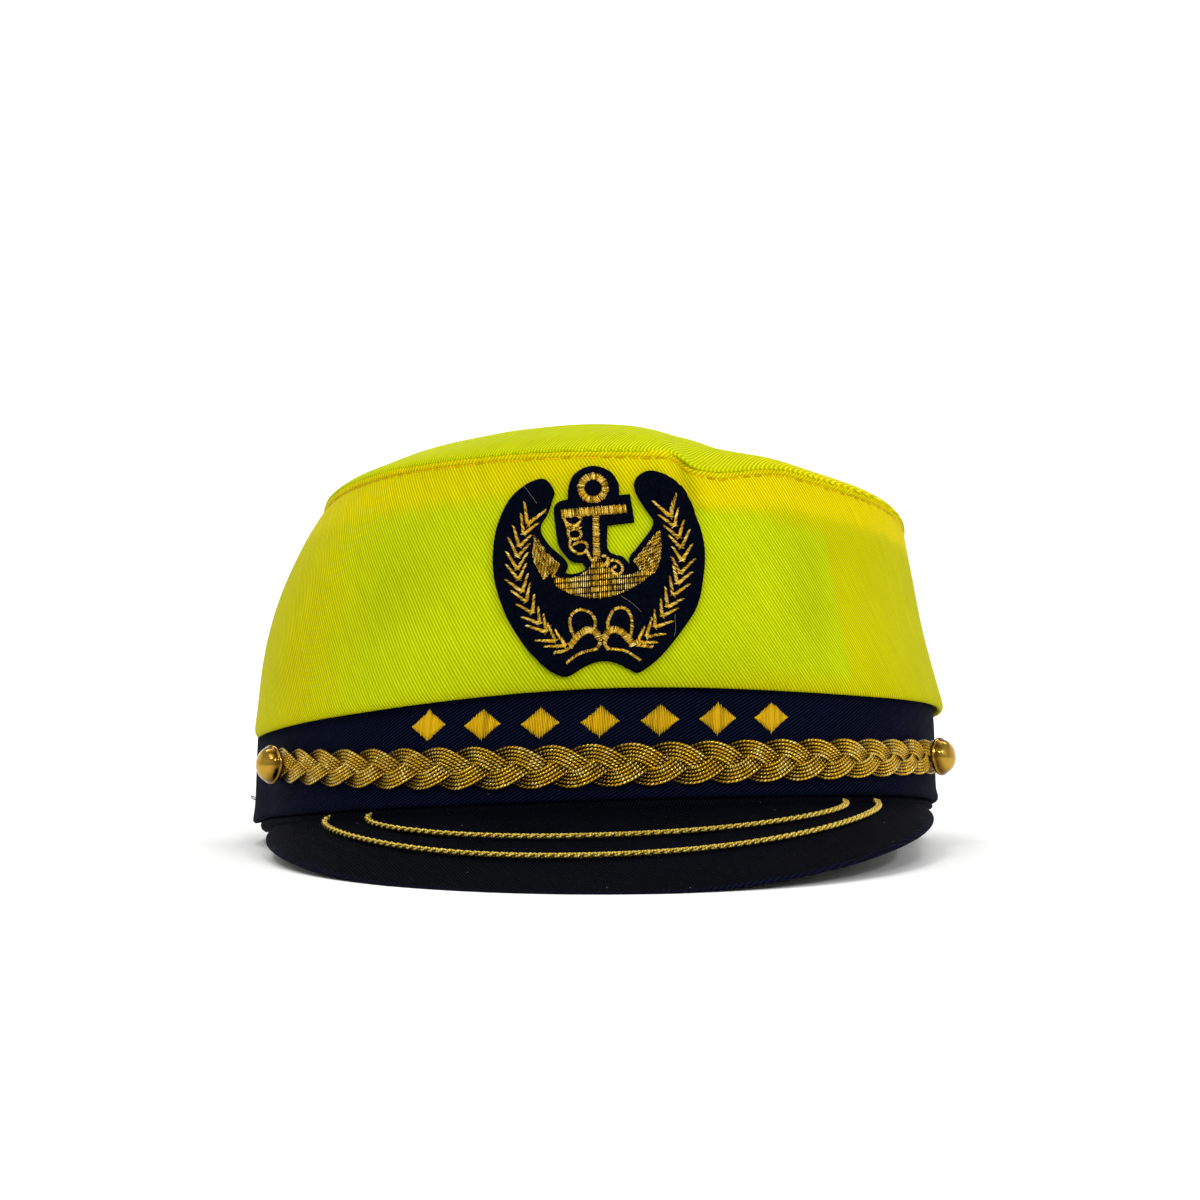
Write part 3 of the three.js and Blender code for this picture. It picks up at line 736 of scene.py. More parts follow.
def navy_twill(name, base, ribs, pitch, angle, specks):
    """Dark twill, nearly black, with painted highlight on its ribs and a little lint.

    An edge attribute marks a bound edge, whose ribs are wider and run another way.
    """
    material, tree, shader = new_material(name)
    where = add(tree, "ShaderNodeTexCoord").outputs
    twill = ribbed(tree, where, pitch, angle)
    dust = dusted(tree, where, 60.0)
    bound = ribbed(tree, where, BINDING_PITCH * pitch, angle - BINDING_TURN)
    edge = kept_layer(tree, "edge")
    on_edge = calc(tree, "GREATER_THAN", edge, 0.5)
    rise = times(tree, calc(tree, "SUBTRACT", 1.0, on_edge), twill["Rib"])
    rise = scaled(tree, on_edge, bound["Rib"], rise)
    tone = scaled(tree, dust["Tone"], 1.1, 0.45)
    share = times(tree, calc(tree, "POWER", rise, 3.0), tone, clamp=True)
    # The ribs take the lit colour as painted highlight; the bound edge is tinted a little toward the navy one
    # as well.
    cloth = blend_colour(tree, share, base, ribs)
    cloth = blend_colour(tree, times(tree, on_edge, 0.15), cloth, colours().navy_rib_highlight)
    cloth = blend_colour(tree, times(tree, dust["Speck"], specks), cloth, LINT)
    tree.links.new(cloth, shader.inputs["Base Color"])
    rough = scaled(tree, twill["Slub"], 0.2, 0.66)
    tree.links.new(rough, shader.inputs["Roughness"])
    shader.inputs["Specular IOR Level"].default_value = 0.02
    relief = calc(tree, "ADD", rise, times(tree, twill["Weave"], 0.3))
    relief = calc(tree, "ADD", relief, on_edge)
    bumped(tree, shader, relief, TWILL_RELIEF, 0.9)
    return material


def felt_cloth(name):
    """Matt felt with a soft nap and matted fibres, the nap partly lit by painted highlight."""
    material, tree, shader = new_material(name)
    where = add(tree, "ShaderNodeTexCoord").outputs
    dust = dusted(tree, where, 900.0)
    fibres = grain_of(tree, where["Object"], 2400.0, 3.0, Distortion=2.0)
    base = colours().felt
    grain = times(tree, calc(tree, "SUBTRACT", fibres, 0.45), 4.0, clamp=True)
    # Where the random fibre grain stands high, the felt takes a copy six times lighter: partly the fibres'
    # own random tone, partly painted highlight on the nap.
    cloth = blend_colour(tree, times(tree, dust["Tone"], grain), base, shades_of(base, FELT_NAP_LIGHT))
    cloth = blend_colour(tree, times(tree, dust["Speck"], 0.5), cloth, FELT_LINT)
    tree.links.new(cloth, shader.inputs["Base Color"])
    shader.inputs["Roughness"].default_value = 0.95
    shader.inputs["Specular IOR Level"].default_value = 0.0
    bumped(tree, shader, calc(tree, "ADD", fibres, dust["Tone"]), FELT_RELIEF, 0.9)
    return material


def gold_cord(name, base, pitch, girth, roughness, contrast):
    """Metallic gimp: wrapping turns painted bright on their crests with painted shade in the gaps, stronger
    with more contrast.

    A raised attribute is 1 on the turns that face outwards and 0 in the hollows between the cords, where it
    paints shade; painted glints of bright gold fall on the raised turns.
    """
    material, tree, shader = new_material(name)
    tones = colours()
    where = add(tree, "ShaderNodeTexCoord").outputs
    wrap = use_group(tree, "Wrap", {"Map": where["UV"], "Pitch": pitch, "Girth": girth})
    dust = dusted(tree, where, 420.0)
    uneven = scaled(tree, dust["Tone"], 3.0 * contrast, 1.1 - 1.3 * contrast)
    lit_turn = scaled(tree, wrap["Turn"], contrast, 1 - contrast)
    bright = times(tree, lit_turn, uneven, clamp=True)
    raised = kept_layer(tree, "raised")
    bright = times(tree, bright, scaled(tree, raised, 1.1, 0.02))
    # Painted glints: in patches the crests of the turns take bright gold and less metal, only where raised is
    # high.
    patch = grain_of(tree, where["Object"], 460.0, 2.0)
    facet = times(tree, calc(tree, "SUBTRACT", patch, 0.5), 9.0 * contrast, clamp=True)
    spot = times(tree, calc(tree, "POWER", wrap["Turn"], 2.0), facet)
    metal = blend_colour(tree, bright, tones.gold_deep, base)
    glint = times(tree, spot, raised)
    metal = blend_colour(tree, glint, metal, tones.gold_bright)
    tree.links.new(metal, shader.inputs["Base Color"])
    tree.links.new(scaled(tree, glint, -0.7, 0.92), shader.inputs["Metallic"])
    rough = scaled(tree, wrap["Fleck"], 0.3, roughness)
    tree.links.new(rough, shader.inputs["Roughness"])
    relief = calc(tree, "ADD", wrap["Turn"], times(tree, wrap["Fleck"], 0.5))
    bumped(tree, shader, relief, CORD_RELIEF)
    return material


def gold_stitch(name):
    """Metallic embroidery thread whose tone changes at random from stitch to stitch, from painted shade in
    deep gold to painted glints in bright gold.
    """
    material, tree, shader = new_material(name)
    tones = colours()
    where = add(tree, "ShaderNodeTexCoord").outputs
    tone = kept_layer(tree, "tone")
    grain = grain_of(tree, where["Object"], 3600.0, 3.0)
    shade = scaled(tree, tone, 0.8, -0.82)
    uneven = scaled(tree, grain, 1.8, shade)
    lit = times(tree, uneven, 2.0, clamp=True)
    glint = times(tree, calc(tree, "SUBTRACT", uneven, 0.7), 4.0, clamp=True)
    metal = blend_colour(tree, lit, tones.gold_deep, tones.gold)
    metal = blend_colour(tree, glint, metal, tones.gold_bright)
    tree.links.new(metal, shader.inputs["Base Color"])
    tree.links.new(scaled(tree, glint, -0.6, 0.92), shader.inputs["Metallic"])
    rough = scaled(tree, grain, 0.3, 0.05)
    tree.links.new(rough, shader.inputs["Roughness"])
    bumped(tree, shader, grain, STITCH_RELIEF)
    return material


def plain_thread(name, base, roughness=0.5):
    """Polyester sewing thread with a slight change of tone from stitch to stitch."""
    material, tree, shader = new_material(name)
    where = add(tree, "ShaderNodeTexCoord").outputs
    tone = kept_layer(tree, "tone")
    grain = grain_of(tree, where["Object"], 4200.0, 2.0)
    mixed = scaled(tree, grain, 0.5, times(tree, tone, 0.6), clamp=True)
    thread = blend_colour(tree, mixed, shades_of(base, THREAD_SHADE), base)
    tree.links.new(thread, shader.inputs["Base Color"])
    shader.inputs["Roughness"].default_value = roughness
    shader.inputs["Specular IOR Level"].default_value = 0.12
    bumped(tree, shader, grain, THREAD_RELIEF)
    return material


def polished_brass(name):
    """Gold-coloured plating with a faint orange-peel surface and small handling marks, with painted shade and
    painted dark reflection where the raised attribute is low.
    """
    material, tree, shader = new_material(name)
    where = add(tree, "ShaderNodeTexCoord").outputs
    dust = dusted(tree, where, 500.0)
    raised = kept_layer(tree, "raised")
    # The handling marks vary at random; raised adds painted light: low gives painted shade and dark
    # reflection, high gives the lit rim band and dome top.
    clean_and_lit = times(tree, raised, scaled(tree, dust["Tone"], 0.8, 0.6), clamp=True)
    metal = blend_colour(tree, clean_and_lit, colours().brass_painted_shade, colours().brass)
    tree.links.new(metal, shader.inputs["Base Color"])
    shader.inputs["Metallic"].default_value = 1.0
    rough = scaled(tree, dust["Tone"], 0.14, 0.09)
    tree.links.new(rough, shader.inputs["Roughness"])
    bumped(tree, shader, dust["Tone"], BRASS_RELIEF)
    return material


def ground_paint(name):
    """A pale matt ground with a barely uneven tone."""
    material, tree, shader = new_material(name)
    where = add(tree, "ShaderNodeTexCoord").outputs
    dust = dusted(tree, where, 3.0)
    base = colours().floor
    paint = blend_colour(tree, dust["Tone"], shades_of(base, GROUND_SHADE), base)
    tree.links.new(paint, shader.inputs["Base Color"])
    shader.inputs["Roughness"].default_value = 0.9
    shader.inputs["Specular IOR Level"].default_value = 0.1
    return material


# The crown

STIFF = {"left": -46.0, "right": 40.0, "top": 0.83, "low": 0.07}
PINCH = {"angle": 13.6, "lean": 2.2, "spread": 1.7, "depth": 1.5 * MM, "length": 0.3}
# The top seam's drop beside the badge, and the angles over which it comes and goes
SEAM_DROP = {"depth": 3.0 * MM, "comes": (11.6, 16.2), "goes": (17, 36)}
# How far the seam stands up along the front, in millimetres, with its humps as angle, spread and height
SEAM_RISE = 1.2
SEAM_HUMPS = [(23, 13, 1.6), (-42, 16, 0.9)]
SEAM_FRONT = (58, 88)
# The soft waves of the tip as height, scale and seed, its dip to the right and the fall of its rim
TIP_WAVES = [(1.5 * MM, 20, 3), (0.4 * MM, 60, 4)]
TIP_DIP = {"depth": 2.4 * MM, "right": 45 * MM, "spread": 18 * MM}
TIP_RIM_FALL = 0.8 * MM


@functools.cache
def crown_edges():
    """The heights of the crown's fold and top seam at whole degrees, in the hat's own coordinates."""
    points = unsettle(read_points(copied_node("crown_side")))
    angles = angle_round(points)
    steps = np.unique(np.round(angles / 5) * 5)
    low = []
    high = []
    for step in steps:
        near = points[np.abs((angles - step + 540) % FULL_TURN - 180) < 1.5]
        low.append(near[:, 2].min())
        high.append(near[:, 2].max())
    grid = np.arange(-180, 181)
    fold = np.interp(grid, steps, low, period=FULL_TURN)
    seam = np.interp(grid, steps, high, period=FULL_TURN)
    return grid, fold, seam


def crown_share(angle, height):
    """How far up the crown's side a height is: 0 at the fold and 1 at the top seam."""
    grid, fold, seam = crown_edges()
    low = np.interp(angle, grid, fold)
    return (height - low) / (np.interp(angle, grid, seam) - low)


def soft_noise(points, scale, seed):
    """A smooth random number from -1 to 1 at each point."""
    shift = Vector((seed * 3.1, seed * 7.7, seed * 1.3))
    return np.array([noise.noise(Vector(p) * scale + shift) for p in points])


def seam_step(angle):
    """How far the crown's top seam drops where it is pinched; it stands a little higher beside that."""
    pinched = SEAM_DROP["depth"] * ramp(angle, *SEAM_DROP["comes"]) * (1 - ramp(angle, *SEAM_DROP["goes"]))
    humps = (height * bell(angle - at, spread) for at, spread, height in SEAM_HUMPS)
    raised = sum(humps, SEAM_RISE) * MM
    return pinched - raised * (1 - ramp(np.abs(angle), *SEAM_FRONT))


def crease_angle(share):
    """Where the pinch's crease runs: it leans away from the badge further down."""
    return PINCH["angle"] + PINCH["lean"] * (1 - share) / PINCH["length"]


def crown_folds(angle, share, points):
    """How far the crown's side is pushed out by its soft folds, its pinch, its seam and its stiffening."""
    crease = crease_angle(share)
    reach = ramp(share, 1 - PINCH["length"], 1 - PINCH["length"] / 3)
    push = -PINCH["depth"] * bell(angle - crease, PINCH["spread"]) * reach
    push += 0.55 * PINCH["depth"] * bell(angle - crease + 3.4, 2.6) * reach
    push += 0.6 * MM * soft_noise(points, 26, 1) * np.sin(np.pi * np.clip(share, 0, 1))
    push += 0.22 * MM * soft_noise(points * np.array([1, 1, 0.45]), 90, 2)
    pucker = np.sin(np.radians(angle) * mean_radius() / trim().seam_pitch * math.pi)
    push += (0.08 + 0.2 * bell(angle - 55, 24)) * MM * pucker * bell(share - 0.95, 0.05)
    return push + 0.25 * MM * lined_share(angle, share)


def lined_share(angle, share):
    """1 where the stiffening lies behind the cloth and 0 elsewhere, with a soft edge."""
    edge = STIFF["right"] + 2.5 * (1 - share)
    wide = ramp(angle, STIFF["left"] - 10, STIFF["left"] + 10) * (1 - ramp(angle, edge - 0.8, edge + 0.8))
    top = STIFF["top"] - 0.05 * ramp(angle, 22, 36)
    low = STIFF["low"] * ramp(angle, 8, 30)
    return wide * ramp(share, low - 0.06, low + 0.06) * (1 - ramp(share, top - 0.045, top + 0.045))


def crown_side_mesh():
    """The crown's side with its folds, and with marks where it is lined, doubled and shaded."""
    mesh = rounded(copied_node("crown_side"), 2)
    points = unsettle(read_points(mesh))
    angle = angle_round(points)
    share = crown_share(angle, points[:, 2])
    normal = out_of_band(angle)
    points[:, :2] += normal * crown_folds(angle, share, points)[:, None]
    points[:, 2] -= seam_step(angle) * ramp(share, 0.72, 1)
    write_points(mesh, settle(points))
    girth = 2 * math.pi * mean_radius()
    lay_map(mesh, np.column_stack([angle / FULL_TURN * girth, points[:, 2]]), wrap=girth)
    write_layer(mesh, "lined", lined_share(angle, share))
    doubled = ramp(share, STIFF["top"] - 0.02, STIFF["top"] + 0.05) * (0.45 + 0.5 * ramp(angle, 0, 30))
    write_layer(mesh, "doubled", doubled)
    # The shaded attribute is painted shade: in the soft dent on the left of the front, in the pinch's crease,
    # low on the front below the badge and just inside the stiffening's right edge.
    crease = crease_angle(share)
    dent_and_crease_shade = 0.12 * bell(angle + 37, 9) * bell(share - 0.5, 0.3)
    dent_and_crease_shade += 0.28 * bell(angle - crease - 0.6, 1.5) * ramp(share, 1 - PINCH["length"], 0.95)
    foot = 0.2 * bell(angle - 2, 30) * (1 - ramp(share, 0.02, 0.3))
    foot += 0.13 * bell(angle - STIFF["right"] + 4, 5) * bell(share - 0.45, 0.35)
    write_layer(mesh, "shaded", dent_and_crease_shade + foot)
    return mesh


def crown_top_mesh():
    """The crown's soft tip, waved in the middle and drawn down to the seam at its rim."""
    mesh = rounded(copied_node("crown_top"), 2)
    points = unsettle(read_points(mesh))
    size = shape()
    away = np.hypot(points[:, 0] / size.band_width, points[:, 1] / size.band_length) * 2
    calm = 1 - ramp(away, 0.72, 0.9)
    angle = angle_round(points)
    for height, scale, seed in TIP_WAVES:
        points[:, 2] += height * soft_noise(points, scale, seed) * calm
    points[:, 2] -= TIP_DIP["depth"] * bell(points[:, 0] - TIP_DIP["right"], TIP_DIP["spread"]) * calm
    points[:, 2] -= TIP_RIM_FALL * ramp(away, 0.8, 0.92)
    points[:, 2] -= seam_step(angle) * ramp(away, 0.72, 0.93)
    write_points(mesh, settle(points))
    lay_map(mesh, points[:, :2])
    doubled = 0.7 * ramp(angle, 15, 45) * (1 - ramp(angle, 75, 130)) * ramp(away, 0.5, 0.95)
    write_layer(mesh, "lined", np.zeros(len(points)))
    write_layer(mesh, "doubled", doubled)
    write_layer(mesh, "shaded", np.zeros(len(points)))
    return mesh


def face_tree(mesh):
    corners = [v.co.copy() for v in mesh.vertices]
    return BVHTree.FromPolygons(corners, [tuple(p.vertices) for p in mesh.polygons])


LOOK_IN = 30 * MM


def side_hit(tree, angle, height):
    """The outermost point and its normal on a piece's side, looking in from outside the band."""
    outside = settle(on_band(angle, LOOK_IN, height))
    inside = settle(on_band(angle, -LOOK_IN, height))
    run = Vector(inside - outside).normalized()
    place, normal, _, _ = tree.ray_cast(Vector(outside), run)
    if place is None:
        raise RuntimeError("nothing lies behind a stitch's place")
    return np.array(place), np.array(normal)


RIDGE = {"points": 720, "radius": 1.2 * MM, "foot": 1.3 * MM, "inset": 1.0 * MM}
STITCH_DROP = 1.2
STITCH_SLIP = 0.15
STITCH_RISE = 0.05 * MM


def seam_ridge(tree):
    """The pinched and puckered edge of doubled cloth that stands up along the crown's top seam."""
    grid, _, seam = crown_edges()
    count = RIDGE["points"]
    path = []
    for i in range(count):
        turn = i / count * FULL_TURN - 180
        top = np.interp(turn, grid, seam) - seam_step(turn)
        place, _ = side_hit(tree, turn, top - RIDGE["foot"])
        outward = np.append(out_of_band(turn), 0.0)
        path.append(place + np.array([0, 0, RIDGE["foot"]]) - outward * RIDGE["inset"])
    path = np.array(path)
    angle = np.arange(count) / count * FULL_TURN - 180
    pucker = np.sin(np.radians(angle) * mean_radius() / trim().seam_pitch * 2 * math.pi)
    rough = soft_noise(path, 160, 8)
    right = 0.5 + bell(angle - 52, 26)
    swells = 1 + right * (0.06 * pucker + 0.12 * rough)
    return tubes("seam_ridge", [path], RIDGE["radius"], 10, closed=True, swells=[swells])


def seam_stitches(tree):
    """A row of stitches round the crown just below its top seam, each a little loose."""
    draw = random.Random(11)
    grid, _, seam = crown_edges()
    pitch = trim().seam_pitch
    count = int(round(2 * math.pi * mean_radius() * 0.93 / pitch))
    places = []
    for i in range(count):
        turn = (i + 0.5) / count * FULL_TURN - 180
        reach = 0.36 * FULL_TURN / count
        ends = []
        for side in (-1, 1):
            at = turn + side * reach
            slip = draw.uniform(-STITCH_SLIP, STITCH_SLIP)
            height = np.interp(at, grid, seam) - seam_step(at) + (slip - STITCH_DROP) * MM
            place, normal = side_hit(tree, at, height)
            ends.append(place + normal * STITCH_RISE)
        places.append(stitch_place(ends[0], ends[1], normal, trim().seam_thread))
    tones = [draw.random() for _ in places]
    return strewn("seam_stitches", thread_unit(), places, tones)


# The braid, as a plait of three strands of gimp cords


CORD_SPACING = 2.05


def plaited(line, out, period, spread, depth, cords, radius, step, pulled=0.0):
    """The cord paths of each strand of a three-strand plait along a line.

    Out is the outward direction at each of the line's points, step the distance between the paths' points,
    and pulled the share by which the plait narrows towards its ends.
    """
    run = run_along(line)
    count = int(run[-1] / step)
    places = np.linspace(0, run[-1], count)
    middle = np.stack([np.interp(places, run, line[:, k]) for k in range(3)], -1)
    outward = np.stack([np.interp(places, run, out[:, k]) for k in range(3)], -1)
    outward /= np.linalg.norm(outward, axis=1, keepdims=True)
    along = np.gradient(middle, axis=0)
    along /= np.linalg.norm(along, axis=1, keepdims=True)
    across = np.cross(outward, along)
    ends = np.abs(2 * places / run[-1] - 1)
    across = across * (1 - pulled * ramp(ends, 0.3, 1))[:, None]
    strands = []
    for strand in range(3):
        paths = []
        turn = 2 * math.pi * (places / period + strand / 3)
        slope = 2 * math.pi * spread / period * np.cos(turn)
        long = np.hypot(1, slope)
        for cord in range(cords):
            offset = (cord - (cords - 1) / 2) * CORD_SPACING * radius
            side = spread * np.sin(turn) + offset / long
            ahead = -offset * slope / long
            rise = -depth * np.sin(2 * turn)
            paths.append(middle + along * ahead[:, None] + across * side[:, None] + outward * rise[:, None])
        strands.append(paths)
    return strands


def facing(mesh, outward):
    """How far each vertex of a mesh looks along the outward direction given for it: 1 fully, 0 sideways."""
    normals = np.empty(len(mesh.vertices) * 3)
    mesh.vertices.foreach_get("normal", normals)
    return np.clip((normals.reshape(-1, 3) * outward).sum(axis=1), 0, 1)


def beaded(paths, pitch, swell):
    """Shares of the radius that give each path a bead at every pitch."""
    shares = []
    for path in paths:
        shares.append(1 + swell * np.cos(2 * math.pi * run_along(path) / pitch))
    return shares


def braid_height(angle):
    """The braid's middle on the band: it climbs a little towards each button."""
    size = shape()
    left = angle < 0
    button = np.where(left, math.degrees(size.button_left), math.degrees(size.button_right))
    share = np.clip(angle / button, 0, 1.2)
    return size.braid_centre + np.where(left, size.braid_rise_left, size.braid_rise_right) * share**2


def braid_line(out):
    """The braid's middle line and outward directions in the frame, at every half degree."""
    size = shape()
    past = math.degrees(size.braid_past)
    angle = np.arange(math.degrees(size.button_left) - past, math.degrees(size.button_right) + past, 0.5)
    line = settle(on_band(angle, out, braid_height(angle)))
    beyond = settle(on_band(angle, out + MM, braid_height(angle)))
    return line, beyond - line


# The visor

VISOR_SLOPE = 1.25
VISOR_BINDING = 1.5 * MM
CORD_SQUARENESS = 2.6
CORD_SEAT = 0.85 * MM
CORD_START = 1.4 * MM
EDGINGS = {
    "visor_cord_outer": {"left": -47.5, "right": 48.5, "reach": 0.66},
    "visor_cord_inner": {"left": -38.0, "right": 41.0, "reach": 0.46},
}


def on_visor(along, out, lift):
    """Points of the visor's upper face: along from -1 to 1 between its corners, out from 0 to 1."""
    size = shape()
    along, out, lift = np.broadcast_arrays(*(np.asarray(a, float) for a in (along, out, lift)))
    corner_angle = math.degrees(size.visor_corner)
    inner = on_band(along * corner_angle, -size.band_wall, -size.gap)
    corner = on_band(corner_angle, 0.0, 0.0)
    turn = along * math.pi / 2
    front = size.band_length / 2 + size.visor_reach + corner[1]
    x = corner[0] * np.sin(turn)
    y = corner[1] - front * np.cos(turn)
    reach = np.maximum(corner[1] - y, 0) / front
    fall = (size.visor_drop - size.visor_corner_drop) * reach**VISOR_SLOPE
    z = -size.gap - size.visor_corner_drop - fall
    edge = np.stack([x, y, z], -1)
    points = inner + (edge - inner) * out[..., None]
    points[..., 2] += size.visor_crown * np.sin(np.pi * out) * reach + lift
    return points


def edging_line(left, right, reach):
    """The middle line of one visor cord, from band to band round the front, and its outward directions."""
    size = shape()
    corner = math.degrees(size.visor_corner)
    share = np.linspace(-1, 1, 121)
    turn = share * math.pi / 2
    across = np.sign(share) * np.abs(np.sin(turn)) ** (2 / CORD_SQUARENESS)
    forward = np.abs(np.cos(turn)) ** (2 / CORD_SQUARENESS)
    along = np.where(across < 0, -across * left, across * right) / corner
    depth = np.linalg.norm(on_visor(along, 0.0, 0.0) - on_visor(along, 1.0, 0.0), axis=-1)
    near = (size.band_wall + size.hem_swell + CORD_START) / depth
    out = near + (reach - near) * forward
    line = settle(on_visor(along, out, CORD_SEAT))
    above = settle(on_visor(along, out, CORD_SEAT + MM))
    return line, above - line


def visor_join():
    """The rolled seam that holds the visor under the band, fuller to the left and tucked in to the right."""
    angle = np.linspace(-78, 74, 153)
    reach = (np.abs(angle) / 78) ** 4
    path = settle(on_band(angle, -1.0 * MM, (-1.3 - 0.7 * reach) * MM))
    return tubes("visor_join", [path], 1.5 * MM, 10, swells=[1 + 0.4 * reach * np.where(angle < 0, 1, -1)])


def visor_mesh():
    """The visor with its bound edge marked."""
    mesh = rounded(copied_node("visor"), 2)
    points = read_points(mesh)
    own = unsettle(points)
    lay_map(mesh, own[:, :2])
    rim = on_visor(np.linspace(-1, 1, 401), 1.0, 0.0)
    way = np.array([np.linalg.norm(rim[:, :2] - point[:2], axis=1).min() for point in own])
    write_layer(mesh, "edge", np.clip(1 - way / (2 * VISOR_BINDING), 0, 1))
    return mesh


BAND_SLACK = {"out": 2.4 * MM, "down": 1.7 * MM}


def band_mesh():
    """The band, a little slack behind the left button, where it hangs below the visor's corner."""
    mesh = rounded(copied_node("band"), 2)
    points = unsettle(read_points(mesh))
    angle = angle_round(points)
    size = shape()
    share = points[:, 2] / size.band_height
    push = 0.4 * MM * soft_noise(points, 22, 5) * bell(share - 0.35, 0.4) * ramp(np.abs(angle), 60, 80)
    slack = (1 - ramp(angle, -84, -69)) * ramp(angle, -150, -120)
    push += BAND_SLACK["out"] * slack
    hem = 1 - ramp(points[:, 2], size.hem_height / 2, size.hem_height)
    points[:, :2] += out_of_band(angle) * push[:, None]
    points[:, 2] -= BAND_SLACK["down"] * slack * hem
    write_points(mesh, settle(points))
    girth = 2 * math.pi * mean_radius()
    lay_map(mesh, np.column_stack([angle / FULL_TURN * girth, points[:, 2]]), wrap=girth)
    return mesh


def loose_fibres(name, ends, bow, radius, seed):
    """Fine bent fibres, each between two points, as one mesh."""
    draw = random.Random(seed)
    paths = []
    for start, end in ends:
        start = np.array(start)
        end = np.array(end)
        share = np.linspace(0, 1, 14)[:, None]
        way = np.array([draw.uniform(-1, 1) for _ in range(3)])
        wave = np.array([draw.uniform(-1, 1) for _ in range(3)])
        bent = bow * np.sin(math.pi * share) * way + bow * 0.4 * np.sin(2 * math.pi * share) * wave
        paths.append(start + (end - start) * share + bent)
    mesh = tubes(name, paths, radius, 4)
    write_layer(mesh, "tone", np.ones(len(mesh.vertices)))
    return mesh


# Angle round the band, and height and distance out from it in millimetres
FRAYED_AT = [(-84, 5.5, 2.2), (-85, 4.8, 2.2), (-83, 5.0, 2.2), (85, 9.2, 0.0), (86, 8.6, 0.0)]


def frayed_threads():
    """A few thread ends that stand out where the band's hem wears at the sides."""
    draw = random.Random(5)
    ends = []
    for angle, height, out in FRAYED_AT:
        start = on_band(angle, out * MM, height * MM)
        tip = on_band(angle, (out + draw.uniform(0.8, 1.8)) * MM, (height + draw.uniform(-0.6, 1.6)) * MM)
        ends.append((settle(start), settle(tip)))
    return loose_fibres("frayed", ends, 0.4 * MM, 0.11 * MM, 6)


# The badge: its shapes are shares of half the badge's width, from its middle


FELT_OUTLINE = [
    (-0.57, 0.86), (-0.72, 0.79), (-0.86, 0.65), (-0.96, 0.43), (-1.0, 0.18), (-0.99, -0.06),
    (-0.93, -0.29), (-0.83, -0.51), (-0.68, -0.73), (-0.52, -0.89), (-0.41, -0.96), (-0.3, -0.98),
    (-0.16, -0.9), (-0.04, -0.85), (0.07, -0.84), (0.18, -0.87), (0.28, -0.92), (0.37, -0.94),
    (0.57, -0.79), (0.76, -0.56), (0.9, -0.34), (0.96, -0.09), (0.98, 0.15), (0.95, 0.36),
    (0.87, 0.57), (0.78, 0.74), (0.67, 0.86), (0.54, 0.93), (0.43, 0.93), (0.34, 0.87),
    (0.32, 0.79), (0.36, 0.68), (0.43, 0.57), (0.5, 0.44), (0.37, 0.24), (0.27, 0.11),
    (0.31, 0.01), (0.21, 0.12), (0.14, 0.14), (0.07, 0.2), (0.07, 0.42), (0.32, 0.45),
    (0.28, 0.71), (0.18, 0.7), (0.17, 0.82), (0.09, 0.93), (-0.07, 0.98), (-0.22, 0.92),
    (-0.29, 0.8), (-0.3, 0.66), (-0.38, 0.64), (-0.43, 0.58), (-0.42, 0.43), (-0.39, 0.24),
    (-0.34, 0.16), (-0.26, 0.08), (-0.16, 0.07), (-0.14, 0.0), (-0.25, -0.04), (-0.33, -0.03),
    (-0.3, 0.05), (-0.36, 0.13), (-0.46, 0.22), (-0.56, 0.39), (-0.49, 0.54), (-0.45, 0.66),
    (-0.43, 0.74), (-0.48, 0.83),
]
SHARP_CORNERS = {36, 40, 41, 42, 43, 49, 56, 59}


class BadgeFace:
    """Lays badge points on the front of the crown."""

    def __init__(self, crown):
        low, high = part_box("badge_felt")
        lefts, heights = zip(*FELT_OUTLINE)
        self.tree = face_tree(crown)
        self.half = shape().badge_width / 2
        self.wide = (high.x - low.x) / (max(lefts) - min(lefts))
        self.tall = (high.z - low.z) / (max(heights) - min(heights))
        self.middle = (low.x + self.wide, (low.z + high.z) / 2)

    def at(self, u, v, lift):
        """The point over a badge share at a height off the cloth, and the outward direction there."""
        start = Vector((self.middle[0] + u * self.wide, CAD_BOX[0].y - 0.1, self.middle[1] + v * self.tall))
        place, normal, _, _ = self.tree.ray_cast(start, Vector((0, 1, 0)))
        if place is None:
            raise RuntimeError("the badge reaches past the crown")
        return np.array(place + normal * lift), np.array(normal)


def felt_outline():
    """The felt's outline with its round stretches smoothed and its corners kept."""
    count = len(FELT_OUTLINE)
    fine = []
    for i, start in enumerate(FELT_OUTLINE):
        before = FELT_OUTLINE[i - 1]
        end = FELT_OUTLINE[(i + 1) % count]
        after = FELT_OUTLINE[(i + 2) % count]
        if i in SHARP_CORNERS:
            before = (2 * start[0] - end[0], 2 * start[1] - end[1])
        if (i + 1) % count in SHARP_CORNERS:
            after = (2 * end[0] - start[0], 2 * end[1] - start[1])
        for step in range(4):
            t = step / 4
            fine.append(tuple(curve_between(*near, t) for near in zip(before, start, end, after)))
    return fine


FELT_CRUSH = 0.35 * MM
FELT_MESH = 1.6 * MM
FELT_NAP = 0.12 * MM


